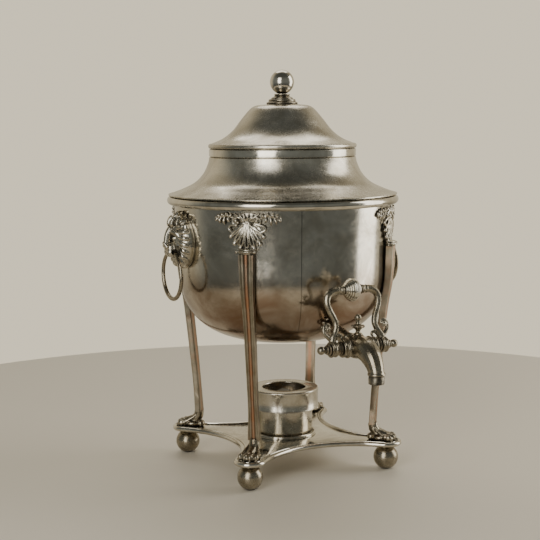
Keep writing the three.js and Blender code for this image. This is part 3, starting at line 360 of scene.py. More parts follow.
def placed(piece, location=(0, 0, 0), turn=(0, 0, 0), scale=(1, 1, 1)):
    """Moves, turns (in degrees) and scales a piece, and puts that into its mesh."""
    pick_up(piece)
    piece.location = location
    piece.rotation_euler = Euler([radians(a) for a in turn])
    piece.scale = scale
    bpy.ops.object.transform_apply(location=True, rotation=True, scale=True)
    return piece


def joined(name, *parts):
    pick_up(*parts)
    bpy.ops.object.join()
    piece = bpy.context.object
    piece.name = name
    return piece


def finished(piece, kind, **settings):
    """Adds a modifier, sets it and applies it."""
    pick_up(piece)
    bpy.ops.object.modifier_add(type=kind)
    modifier = piece.modifiers[-1]
    for key, value in settings.items():
        setattr(modifier, key, value)
    bpy.ops.object.modifier_apply(modifier=modifier.name)
    return piece


def cast(name, *parts, grain=1.0, rubbed=3):
    """Runs parts together into one cast skin, rubbed smooth. The grain is a share of the panel's."""
    piece = joined(name, *parts)
    finished(piece, "REMESH", mode="VOXEL", voxel_size=millimetres("ornament_grain") * grain)
    return finished(piece, "SMOOTH", factor=0.5, iterations=rubbed)


def thrown_away(piece):
    pick_up(piece)
    bpy.ops.object.delete()


def cut_away(piece, *cutters):
    """Cuts the cutters out of a piece and throws them away."""
    for cutter in cutters:
        finished(piece, "BOOLEAN", operation="DIFFERENCE", object=cutter, solver="EXACT")
        thrown_away(cutter)
    return piece


def block(name, low, high):
    put_down()
    centre = [(a + b) / 2 for a, b in zip(low, high)]
    bpy.ops.mesh.primitive_cube_add(size=1, location=centre, scale=[b - a for a, b in zip(low, high)])
    piece = bpy.context.object
    piece.name = name
    bpy.ops.object.transform_apply(location=True, rotation=True, scale=True)
    return piece


def copy_of(piece, name):
    pick_up(piece)
    bpy.ops.object.duplicate(linked=False)
    duplicate = bpy.context.object
    duplicate.name = name
    return duplicate


def settle(piece, body, slot, material, *nodes, heading=0, sharp=35):
    """Takes a piece from millimetres round the urn's axis to its place, material, body and CAD nodes."""
    placed(piece, location=(0, AXIS_Y * MM, 0), turn=(0, 0, heading), scale=(MM, MM, MM))
    piece.data.name = piece.name
    bpy.ops.object.shade_smooth_by_angle(angle=radians(sharp))
    piece.data.materials.clear()
    piece.data.materials.append(material)
    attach(piece, body)
    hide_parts(*nodes)
    return piece


def settle_copies(headings, master, body, slot, material, node, sharp=35):
    """Copies a piece modelled on the X axis to each place round the urn, and throws it away.

    A place's name stands for {} in the body's name, and follows the piece's and the node's.
    """
    name = master.name
    for place, heading in headings.items():
        settle(copy_of(master, f"{name}_{place}"), body.format(place), slot, material, f"{node}_{place}",
               heading=heading, sharp=sharp)
    thrown_away(master)


# ---------------------------------------------------------------- materials
def add_node(tree, kind, inputs=None, **settings):
    """Adds a node, sets it, and links or sets its inputs."""
    made = tree.nodes.new(kind)
    for key, value in settings.items():
        setattr(made, key, value)
    for key, value in (inputs or {}).items():
        if isinstance(value, bpy.types.NodeSocket):
            tree.links.new(value, made.inputs[key])
        else:
            made.inputs[key].default_value = value
    return made


def new_material(name):
    """An empty material, its node tree and its shader."""
    material = bpy.data.materials.new(name)
    material.use_nodes = True
    tree = material.node_tree
    return material, tree, tree.nodes["Principled BSDF"]


def per_metre(size):
    """The texture scale at which one cell of a pattern measures that many millimetres."""
    return 1 / (size * MM)


def silver_plate(name, clean="clean_silver", dull="dull_silver", dullness=0.5, cloud=38,
                 gloss=(0.14, 0.32), hollows=0.0, bare=0.0, stripe=0.0, rings=0.0, warm_below=None,
                 seam=None):
    """Silver plate on copper, polished by hand for years.

    Bright and nearly mirror-like where it is rubbed, with cloudy grey-brown tarnish, finger smears that
    blur it, black tarnish in the hollows of ornament and copper showing through on worn edges.
    """
    known = bpy.data.materials.get(name)
    if known:
        return known
    material, tree, shader = new_material(name)
    place = add_node(tree, "ShaderNodeTexCoord").outputs["Object"]
    clouds = add_node(tree, "ShaderNodeTexNoise", {
        "Vector": place, "Scale": per_metre(cloud), "Detail": 5, "Roughness": 0.62, "Distortion": 0.6})
    share = add_node(tree, "ShaderNodeMapRange", {
        "Value": clouds.outputs["Fac"], "From Min": 0.34, "From Max": 0.68,
        "To Min": max(dullness - 0.5, 0), "To Max": min(dullness + 0.45, 1)})
    tint = add_node(tree, "ShaderNodeMix", {
        0: share.outputs["Result"], 6: colour(clean), 7: colour(dull)}, data_type="RGBA")
    shade = tint.outputs[2]
    height = add_node(tree, "ShaderNodeSeparateXYZ", {0: place})
    if warm_below is not None:
        # the lamp's flame has stained the underside brown and worn the silver thin
        low = add_node(tree, "ShaderNodeMapRange", {
            "Value": height.outputs["Z"], "From Min": (warm_below + 22) * MM,
            "From Max": (warm_below - 34) * MM, "To Min": 0.0, "To Max": 1.5},
                       interpolation_type="SMOOTHSTEP")
        patchy = add_node(tree, "ShaderNodeMath", {
            0: low.outputs["Result"], 1: clouds.outputs["Fac"]}, operation="MULTIPLY")
        shade = add_node(tree, "ShaderNodeMix", {
            0: patchy.outputs[0], 6: shade, 7: colour("heat_stain")}, data_type="RGBA").outputs[2]
    if bare:
        # copper bleeding through on the edges that a cloth catches
        edge = add_node(tree, "ShaderNodeNewGeometry").outputs["Pointiness"]
        worn = add_node(tree, "ShaderNodeMapRange", {
            "Value": edge, "From Min": 0.52, "From Max": 0.6, "To Min": 0.0, "To Max": bare})
        spots = add_node(tree, "ShaderNodeTexNoise",
                         {"Vector": place, "Scale": per_metre(9), "Detail": 4})
        spotted = add_node(tree, "ShaderNodeMapRange", {
            "Value": spots.outputs["Fac"], "From Min": 0.42, "From Max": 0.62})
        amount = add_node(tree, "ShaderNodeMath", {
            0: worn.outputs["Result"], 1: spotted.outputs["Result"]}, operation="MULTIPLY")
        shade = add_node(tree, "ShaderNodeMix", {
            0: amount.outputs[0], 6: shade, 7: colour("copper")}, data_type="RGBA").outputs[2]
    if stripe:
        # bare copper down the middle reed of each leg, where a cloth rubs hardest
        # the legs stand on the diagonals, so a leg's middle is where the two distances from the axis match
        centred = add_node(tree, "ShaderNodeVectorMath", {
            0: place, 1: (0, -AXIS_Y * MM, 0)}, operation="ADD")
        distance = add_node(tree, "ShaderNodeVectorMath", {0: centred.outputs[0]}, operation="ABSOLUTE")
        across = add_node(tree, "ShaderNodeSeparateXYZ", {0: distance.outputs[0]})
        aside = add_node(tree, "ShaderNodeMath", {
            0: across.outputs["X"], 1: across.outputs["Y"]}, operation="SUBTRACT")
        aside = add_node(tree, "ShaderNodeMath", {0: aside.outputs[0]}, operation="ABSOLUTE")
        worn = add_node(tree, "ShaderNodeMapRange", {
            "Value": aside.outputs[0], "From Min": 0.0012, "From Max": 0.0034, "To Min": stripe,
            "To Max": 0.0})
        amount = add_node(tree, "ShaderNodeMath", {
            0: worn.outputs["Result"], 1: share.outputs["Result"]}, operation="MULTIPLY")
        shade = add_node(tree, "ShaderNodeMix", {
            0: amount.outputs[0], 6: shade, 7: colour("copper")}, data_type="RGBA").outputs[2]
    smears = add_node(tree, "ShaderNodeTexNoise", {
        "Vector": place, "Scale": per_metre(cloud / 4), "Detail": 6, "Roughness": 0.7, "Distortion": 1.2})
    rough = add_node(tree, "ShaderNodeMapRange", {
        "Value": smears.outputs["Fac"], "From Min": 0.32, "From Max": 0.7,
        "To Min": gloss[0], "To Max": gloss[1]})
    roughness = rough.outputs["Result"]
    if hollows:
        # polish never reaches the hollows, within about 2.5 mm of a rising edge
        shelter = add_node(tree, "ShaderNodeAmbientOcclusion", {"Distance": 2.5 * MM}, samples=6)
        deep = add_node(tree, "ShaderNodeMapRange", {
            "Value": shelter.outputs["AO"], "From Min": 0.86, "From Max": 0.4, "To Min": 0.0,
            "To Max": hollows})
        shade = add_node(tree, "ShaderNodeMix", {
            0: deep.outputs["Result"], 6: shade, 7: colour("dark_tarnish")}, data_type="RGBA").outputs[2]
        dulled = add_node(tree, "ShaderNodeMath", {
            0: deep.outputs["Result"], 1: 0.4, 2: roughness}, operation="MULTIPLY_ADD")
        roughness = dulled.outputs[0]
    if seam is not None:
        # the soldered seam where the rolled sheet was closed, a line about half a millimetre wide
        turned = add_node(tree, "ShaderNodeMapping", {
            "Vector": place, "Location": (0, -AXIS_Y * MM, 0)}, vector_type="POINT")
        faced = add_node(tree, "ShaderNodeVectorRotate", {
            "Vector": turned.outputs[0], "Angle": radians(-seam)}, rotation_type="Z_AXIS")
        parts = add_node(tree, "ShaderNodeSeparateXYZ", {0: faced.outputs[0]})
        aside = add_node(tree, "ShaderNodeMath", {0: parts.outputs["Y"]}, operation="ABSOLUTE")
        line = add_node(tree, "ShaderNodeMapRange", {
            "Value": aside.outputs[0], "From Min": 0.00025, "From Max": 0.0006, "To Min": 0.55,
            "To Max": 0.0})
        facing = add_node(tree, "ShaderNodeMath", {0: parts.outputs["X"], 1: 0.0},
                          operation="GREATER_THAN")
        marked = add_node(tree, "ShaderNodeMath", {
            0: line.outputs["Result"], 1: facing.outputs[0]}, operation="MULTIPLY")
        shade = add_node(tree, "ShaderNodeMix", {
            0: marked.outputs[0], 6: shade, 7: colour("dark_tarnish")}, data_type="RGBA").outputs[2]
    # hairline polishing scratches, drawn about 0.5 mm apart so that they show
    scratches = add_node(tree, "ShaderNodeTexNoise",
                         {"Vector": place, "Scale": per_metre(0.5), "Detail": 2})
    relief = add_node(tree, "ShaderNodeBump", {
        "Strength": 0.012, "Distance": 0.2 * MM, "Height": scratches.outputs["Fac"]})
    if rings:
        # faint ridges left by the spinning tool, about 1.6 mm apart
        ridge = add_node(tree, "ShaderNodeMath", {
            0: height.outputs["Z"], 1: per_metre(1.6)}, operation="MULTIPLY")
        ridges = add_node(tree, "ShaderNodeTexNoise", {"W": ridge.outputs[0], "Scale": 1.0, "Detail": 2},
                          noise_dimensions="1D")
        relief = add_node(tree, "ShaderNodeBump", {
            "Strength": rings, "Distance": 0.06 * MM, "Height": ridges.outputs["Fac"],
            "Normal": relief.outputs[0]})
    # shallow dents and ripples of hand-raised sheet, a few centimetres across
    dents = add_node(tree, "ShaderNodeTexNoise", {"Vector": place, "Scale": per_metre(46), "Detail": 1})
    relief = add_node(tree, "ShaderNodeBump", {
        "Strength": 0.3, "Distance": 0.8 * MM, "Height": dents.outputs["Fac"],
        "Normal": relief.outputs[0]})
    tree.links.new(shade, shader.inputs["Base Color"])
    tree.links.new(roughness, shader.inputs["Roughness"])
    tree.links.new(relief.outputs[0], shader.inputs["Normal"])
    shader.inputs["Metallic"].default_value = 1
    return material


def bowl_plate():
    return silver_plate("sheffield_plate_bowl", dullness=0.5, cloud=44, gloss=(0.12, 0.24), rings=0.12,
                        warm_below=190, seam=-108)


def spun_plate():
    return silver_plate("sheffield_plate_spun", dullness=0.6, cloud=36, gloss=(0.2, 0.32), rings=0.15)


def cast_plate():
    return silver_plate("silver_plated_casting", clean="dull_silver", dull="smoky_silver", dullness=0.5,
                        cloud=16, gloss=(0.2, 0.34), hollows=0.9, bare=0.25)


def rubbed_plate():
    return silver_plate("silver_plate_rubbed_bright", dullness=0.3, cloud=30, gloss=(0.1, 0.2),
                        rings=0.08)


def relief_plate():
    return silver_plate("silver_plated_relief", dullness=0.6, cloud=12, gloss=(0.18, 0.28), hollows=0.8,
                        bare=0.3)


def lamp_plate():
    return silver_plate("silver_plate_lamp", dullness=0.65, cloud=18, gloss=(0.18, 0.3), rings=0.1)


def worn_leg_plate():
    return silver_plate("silver_plate_worn_to_copper", clean="dull_silver", dull="smoky_silver",
                        dullness=0.95, cloud=14, gloss=(0.26, 0.4), hollows=0.8, bare=0.2, stripe=0.7)


def dull_metal(name, base, cell, gloss):
    """Old brass or blackened metal that is never polished: satin, with small darker blotches."""
    known = bpy.data.materials.get(name)
    if known:
        return known
    material, tree, shader = new_material(name)
    place = add_node(tree, "ShaderNodeTexCoord").outputs["Object"]
    blotches = add_node(tree, "ShaderNodeTexNoise",
                        {"Vector": place, "Scale": per_metre(cell), "Detail": 5})
    share = add_node(tree, "ShaderNodeMapRange", {
        "Value": blotches.outputs["Fac"], "From Min": 0.35, "From Max": 0.7, "To Min": 0.35,
        "To Max": 0.95})
    tint = add_node(tree, "ShaderNodeMix", {
        0: share.outputs["Result"], 6: colour(base), 7: colour("dark_tarnish")}, data_type="RGBA")
    rough = add_node(tree, "ShaderNodeMapRange", {
        "Value": blotches.outputs["Fac"], "From Min": 0.3, "From Max": 0.7, "To Min": gloss[0],
        "To Max": gloss[1]})
    relief = add_node(tree, "ShaderNodeBump", {
        "Strength": 0.2, "Distance": 0.1 * MM, "Height": blotches.outputs["Fac"]})
    tree.links.new(tint.outputs[2], shader.inputs["Base Color"])
    tree.links.new(rough.outputs["Result"], shader.inputs["Roughness"])
    tree.links.new(relief.outputs[0], shader.inputs["Normal"])
    shader.inputs["Metallic"].default_value = 1
    return material


def dull_brass():
    return dull_metal("brass_dull", "brass", 6, (0.3, 0.5))


def blackened_outlet():
    return dull_metal("silver_plate_blackened", "dull_silver", 5, (0.32, 0.5))


def wick_yarn():
    """Woven cotton wick: matt, its strands about 1 mm apart, scorched brown at the top."""
    known = bpy.data.materials.get("cotton_wick")
    if known:
        return known
    material, tree, shader = new_material("cotton_wick")
    place = add_node(tree, "ShaderNodeTexCoord").outputs["Object"]
    strands = add_node(tree, "ShaderNodeTexVoronoi", {"Vector": place, "Scale": per_metre(1)})
    parts = add_node(tree, "ShaderNodeSeparateXYZ", {0: place})
    burnt = add_node(tree, "ShaderNodeMapRange", {
        "Value": parts.outputs["Z"], "From Min": (POT_HIGH.z - 5) * MM, "From Max": (POT_HIGH.z - 1) * MM,
        "To Min": 0.15, "To Max": 0.9})
    tint = add_node(tree, "ShaderNodeMix", {
        0: burnt.outputs["Result"], 6: colour("cotton"), 7: colour("dark_tarnish")}, data_type="RGBA")
    relief = add_node(tree, "ShaderNodeBump", {
        "Strength": 0.8, "Distance": 0.4 * MM, "Height": strands.outputs["Distance"]})
    tree.links.new(tint.outputs[2], shader.inputs["Base Color"])
    tree.links.new(relief.outputs[0], shader.inputs["Normal"])
    shader.inputs["Roughness"].default_value = 0.9
    return material


# ---------------------------------------------------------------- bowl, rim, shoulder and neck
class URN_OT_bowl(bpy.types.Operator):
    """Spin the round-bottomed bowl with its soldered seam"""

    bl_idname = "urn.bowl"
    bl_label = "Bowl"

    def execute(self, context):
        steps = 30
        outline = [(0, BOWL_LOW.z)]
        for i in range(1, steps + 1):
            angle = pi / 2 * i / steps
            depth = (BELLY_HEIGHT - BOWL_LOW.z) * cos(angle) ** (2 / BOTTOM_SQUARENESS)
            outline.append((bowl_radius(BELLY_HEIGHT - depth), BELLY_HEIGHT - depth))
        for share in (0.2, 0.4, 0.6, 0.8, 1):
            height = mix(BELLY_HEIGHT, BOWL_HIGH.z, share)
            outline.append((bowl_radius(height), height))
        wall = thickened(outline, BOWL_WALL)
        settle(spun("bowl_shell", wall), "urn", "body_silver", bowl_plate(), "bowl")
        return {"FINISHED"}


class URN_OT_rim(bpy.types.Operator):
    """Spin the rolled bead under the shoulder"""

    bl_idname = "urn.rim"
    bl_label = "Rim bead"

    def execute(self, context):
        bead = millimetres("rim_bead_radius")
        middle = (RIM_HIGH.x - bead, (RIM_LOW.z + RIM_HIGH.z) / 2)
        inside = BOWL_HIGH.x + 0.2
        open_angle = degrees(acos((inside - middle[0]) / bead))
        outline = arc(middle, bead, -open_angle, open_angle, 26)
        settle(spun("rim_moulding", outline, ring=True), "urn", "cast_silver", rubbed_plate(), "rim_bead")
        return {"FINISHED"}


class URN_OT_shoulder(bpy.types.Operator):
    """Spin the shoulder that sweeps up from the rim to the neck, and the bright band round the neck"""

    bl_idname = "urn.shoulder"
    bl_label = "Shoulder and neck"

    def execute(self, context):
        neck = millimetres("neck_radius")
        low, high = limits("shoulder")
        edge = (high.x, low.z + SHEET)
        top = high.z - NECK_HEIGHT
        rise, run = top - edge[1], edge[0] - neck
        shares = [(0.86, 0.05), (0.64, 0.15), (0.375, 0.31), (0.17, 0.56), (0.055, 0.85), (0.03, 1)]
        swept = flowing([edge, *[(neck + run * out, edge[1] + rise * up) for out, up in shares]], 6)
        swept = [tuple(p) for p in swept]
        outside = [(edge[0] - 0.5, low.z), (edge[0] - 0.05, low.z + 0.35), *swept,
                   (neck + 0.3, top + 0.6), (neck, top + 0.9), (neck, high.z)]
        inside = [(radius, height) for radius, height in thickened(outside[2:], SHEET)[len(outside) - 2:]]
        settle(spun("shoulder_cover", [*outside, *inside], ring=True), "urn", "body_silver", spun_plate(),
               "shoulder")

        inner, outer = neck + 0.3, NECK_HIGH.x
        bottom, crown = NECK_LOW.z, NECK_HIGH.z
        band = [(inner, bottom), (outer - 0.5, bottom),
                *arc((outer - 0.5, bottom + 0.5), 0.5, -90, 0, 4)[1:],
                (outer - 0.15, mix(bottom, crown, 0.5)), *arc((outer - 0.5, crown - 0.5), 0.5, 0, 90, 4),
                (inner, crown)]
        settle(spun("neck_band", band, ring=True), "urn", "bright_silver", rubbed_plate(), "neck_collar")
        return {"FINISHED"}


# ---------------------------------------------------------------- lid and finial
class URN_OT_lid(bpy.types.Operator):
    """Spin the domed lid with its edge bead and the bezel that drops into the neck"""

    bl_idname = "urn.lid"
    bl_label = "Lid"

    def execute(self, context):
        edge, seat, top = LID_HIGH.x, LID_LOW.z, LID_HIGH.z
        bead = 2.4
        foot = seat + 2 * bead
        crown = BALL_HIGH.x * 2
        run, rise = edge - bead - crown, top - foot
        flare = [(edge - bead - 0.6, foot), (crown + 0.75 * run, foot + 0.13 * rise),
                 (crown + 0.54 * run, foot + 0.34 * rise), (crown + 0.35 * run, foot + 0.645 * rise),
                 (crown + 0.14 * run, foot + 0.93 * rise), (crown - 4, top - 0.1), (2.7, top)]
        flare = [tuple(p) for p in flowing(flare, 8)]
        bezel_low, bezel_high = limits("lid_bezel")
        under = [p for p in thickened(flare, SHEET)[len(flare):] if p[0] < bezel_high.x - 2]
        inner, outer = bezel_high.x - BEZEL_WALL, bezel_high.x
        outline = [(inner, seat), *arc((edge - bead, seat + bead), bead, -90, 78, 14), *flare,
                   *under, (inner, foot - 0.4)]
        settle(spun("lid_shell", outline, ring=True), "lid", "body_silver", spun_plate(), "lid_dome")

        ring = [(inner, bezel_low.z + 0.4), (inner + 0.4, bezel_low.z), (outer - 0.6, bezel_low.z),
                (outer, bezel_low.z + 0.8), (outer, bezel_high.z), (inner, bezel_high.z)]
        settle(spun("lid_bezel_ring", ring, ring=True), "lid", "body_silver", spun_plate(), "lid_bezel")
        return {"FINISHED"}


class URN_OT_finial(bpy.types.Operator):
    """Spin the finial, a stepped button and a ball on its stud, and give the nut inside the lid brass"""

    bl_idname = "urn.finial"
    bl_label = "Finial"

    def execute(self, context):
        low, high = limits("finial_button")
        hole, wide = 2.6, 15.0
        neck = 0.46 * wide
        foot = low.z
        button = [(hole, foot), (wide - 0.5, foot), *arc((wide - 1, foot + 1), 1, -60, 90, 7),
                  (wide - 1.6, foot + 2.3), *arc((wide - 3.4, foot + 3.6), 1.3, -30, 90, 6),
                  *[tuple(p) for p in flowing([(wide - 4.6, foot + 5.2), (neck + 3.2, foot + 6.1),
                                               (neck + 1, foot + 7.2), (neck, high.z - 1.4)], 4)],
                  *arc((neck - 0.1, high.z - 0.7), 0.7, -70, 90, 6), (hole, high.z)]
        settle(spun("finial_base", button, steps=72, ring=True), "lid", "cast_silver", cast_plate(),
               "finial_button")

        radius = millimetres("finial_ball_radius")
        centre = BALL_HIGH.z - radius
        ball = [(0, BALL_LOW.z), (STUD_RADIUS, BALL_LOW.z), (STUD_RADIUS, high.z + 0.3),
                *arc((0, centre), radius, -72, 90, 40)]
        ball[-1] = (0, BALL_HIGH.z)
        settle(spun("finial_globe", ball, steps=72), "lid", "cast_silver", rubbed_plate(), "finial_ball")
        # the nut is hidden inside the lid, so its plain node stays and only takes the brass
        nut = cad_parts["finial_nut"].data
        nut.materials.clear()
        nut.materials.append(dull_brass())
        return {"FINISHED"}


# ---------------------------------------------------------------- base plate, feet and lamp seat
def plate_outline(inset):
    """The plate's outline: a square with a round lobe at each corner and hollow sides."""
    lobe = FOOT_CIRCLE / sqrt(2)
    lobe_radius, waist = 15.0, 56.5
    neck = waist - lobe_radius
    hollow = (2 * lobe ** 2 - neck ** 2) / (2 * (lobe - neck))
    touch = degrees(atan2(hollow - lobe, lobe))
    side = [*arc((0, -hollow), hollow - waist + inset, 180 - touch, touch, 26),
            *arc((lobe, -lobe), lobe_radius - inset, touch - 180, 90 - touch, 22)[1:-1]]
    points = []
    for quarter in range(4):
        turn = Matrix.Rotation(quarter * pi / 2, 2)
        points += [turn @ Vector(p) for p in side]
    return points


class URN_OT_base(bpy.types.Operator):
    """Cut the hollow-sided base plate and wire its edge with a round moulding"""

    bl_idname = "urn.base"
    bl_label = "Base plate"

    def execute(self, context):
        low, high = PLATE_LOW.z, PLATE_HIGH.z
        plate = trace("plate_sheet", [(x, y, low) for x, y in plate_outline(WIRE_RADIUS)], closed=True)
        bpy.ops.mesh.edge_face_add()
        bpy.ops.mesh.extrude_region_move(TRANSFORM_OT_translate={"value": (0, 0, high - low)})
        bpy.ops.mesh.inset(thickness=3.0, depth=-0.25)
        bpy.ops.mesh.inset(thickness=0.5, depth=0.2)
        tidy_skin()
        settle(plate, "urn", "body_silver", rubbed_plate(), "base_plate")

        middle = (low + high) / 2
        edge = [(x, y, middle) for x, y in plate_outline(WIRE_RADIUS)]
        moulding = rod("plate_moulding", edge, [WIRE_RADIUS, WIRE_RADIUS], sides=16, closed=True)
        fillet = rod("fillet", [(x, y, high + 0.15) for x, y in plate_outline(5.2)], [0.55, 0.55],
                     sides=8, closed=True)
        settle(joined("plate_moulding", moulding, fillet), "urn", "cast_silver", rubbed_plate(),
               "plate_edge")
        return {"FINISHED"}


class URN_OT_feet(bpy.types.Operator):
    """Spin one ball foot with its collar and stud, and copy it to the four corners"""

    bl_idname = "urn.feet"
    bl_label = "Ball feet"

    def execute(self, context):
        radius = millimetres("foot_ball_radius")
        flat, neck = 3.0, 5.0
        centre = sqrt(radius ** 2 - flat ** 2)
        _, high = limits("foot_ball_back_right")
        seat = PLATE_LOW.z - 0.2
        outline = [(0, 0), *arc((0, centre), radius, -degrees(acos(flat / radius)),
                                degrees(acos(neck / radius)), 34),
                   (neck, seat - 0.9), *arc((neck + 0.2, seat - 0.45), 0.45, -90, 90, 5),
                   (2.2, seat), (2.2, high.z), (0, high.z)]
        ball = spun("foot_globe", outline, steps=64)
        placed(ball, location=(FOOT_CIRCLE, 0, 0))
        settle_copies(CORNERS, ball, "urn", "cast_silver", cast_plate(), "foot_ball")
        return {"FINISHED"}


# ---------------------------------------------------------------- paws and legs, modelled on the X axis
class URN_OT_paws(bpy.types.Operator):
    """Cast one lion's paw, its toes, claws and tendons, and copy it to the four corners"""

    bl_idname = "urn.paws"
    bl_label = "Paws"

    def execute(self, context):
        floor, top = PLATE_HIGH.z + 0.1, LEG_LOW.z + 1
        ankle, ball = LEG_FOOT_REACH, FOOT_CIRCLE + 2
        parts = [
            rod("ankle", [(ankle, 0, top), (ankle + 0.8, 0, top - 5), (ankle + 4, 0, floor + 7),
                          (ball, 0, floor + 3.6)], [4.6, 4.9, 5.2, 4.4], sides=16),
            lumps("pad", [((ankle + 7.5, 0, floor + 3.2), (9, 8.6, 4)),
                          ((ball + 1, 0, floor + 2.8), (6, 9.2, 3.6)),
                          ((ankle - 1.5, 0, floor + 3), (4, 4.4, 3.6))], fine=True),
        ]
        for i, across in enumerate((-7.5, -2.5, 2.5, 7.5)):
            outer = abs(across) > 5
            tip = ball + (4.4 if outer else 6.4)
            knuckle = floor + (4.6 if outer else 5.2)
            tendon = [(ankle + 1.5, across * 0.45, top - 3.5), (ankle + 4.5, across * 0.62, floor + 10),
                      (ball - 4, across * 0.9, knuckle + 1.4), (ball, across, knuckle)]
            parts.append(rod("tendon", tendon, [0.9, 1.3, 1.6, 1.9], sides=8))
            parts.append(lumps("toe", [((tip - 2.2, across, floor + 3.6), (3.5, 2.35, 3.3)),
                                       ((tip - 5.4, across * 0.98, knuckle), (3, 2.1, 2.2)),
                                       ((tip + 0.9, across * 1.03, floor + 1.4), (1.9, 1, 1.3))]))
        under = block("under", (60, -30, floor - 20), (140, 30, floor))
        paw = cut_away(cast("lion_paw", *parts, grain=0.8, rubbed=2), under)
        settle_copies(CORNERS, paw, "urn", "cast_silver", cast_plate(), "paw", sharp=60)
        return {"FINISHED"}


def leg_line():
    """The leg's middle line, [distance from the axis, height]: upright beside the bowl, then inwards."""
    shares = [(0, 0), (0.1, 0.18), (0.42, 0.38), (0.83, 0.77), (1, 1)]
    return flowing([(mix(LEG_TOP_REACH, LEG_FOOT_REACH, inward), mix(LEG_HIGH.z, LEG_LOW.z, down))
                    for inward, down in shares], 6)


def reeded_section(width, thickness, reeds=3, depth=0.9):
    """A leg's cross-section, [out, across]: rounded reeds between two square edges, and a flat back."""
    fillet = 0.09 * width
    points = [(thickness / 2 - 0.5, -width / 2), (thickness / 2 - 0.5, -width / 2 + fillet)]
    pitch = (width - 2 * fillet) / reeds
    for reed in range(reeds):
        start = -width / 2 + fillet + reed * pitch
        for i in range(1, 8):
            angle = pi * i / 8
            points.append((thickness / 2 - depth + depth * sin(angle) ** 0.8,
                           start + pitch * (1 - cos(angle)) / 2))
        if reed < reeds - 1:
            points.append((thickness / 2 - depth - 0.3, start + pitch))
    points += [(thickness / 2 - 0.5, width / 2 - fillet), (thickness / 2 - 0.5, width / 2)]
    points += [(-thickness / 2 + 0.8, width / 2), (-thickness / 2, width / 2 - 0.8)]
    points += [(-thickness / 2, -width / 2 + 0.8), (-thickness / 2 + 0.8, -width / 2)]
    return points


class URN_OT_legs(bpy.types.Operator):
    """Draw one reeded leg down its line, tapering to the ankle, and copy it to the four corners"""

    bl_idname = "urn.legs"
    bl_label = "Reeded legs"

    def execute(self, context):
        wide = millimetres("leg_width")
        line = leg_line()
        start = line[0]
        section = reeded_section(wide, LEG_THICKNESS)
        leg = trace("reeded_leg", [(start.x + out, across, start.y) for out, across in section],
                    closed=True)
        bpy.ops.mesh.edge_face_add()
        width, thickness, here = 1.0, 1.0, start
        for i, point in enumerate(line[1:], 1):
            share = i / (len(line) - 1)
            next_width = mix(1, 0.64, min(share / 0.75, 1)) + 0.2 * max(share - 0.84, 0) / 0.16
            next_thickness = mix(1, 0.76, share)
            bpy.ops.mesh.extrude_region_move(
                TRANSFORM_OT_translate={"value": (point.x - here.x, 0, point.y - here.y)})
            bpy.ops.transform.resize(value=(next_thickness / thickness, next_width / width, 1),
                                     center_override=(point.x, 0, point.y))
            width, thickness, here = next_width, next_thickness, point
        tidy_skin()
        settle_copies(CORNERS, leg, "urn", "worn_copper", worn_leg_plate(), "leg", sharp=40)
        return {"FINISHED"}


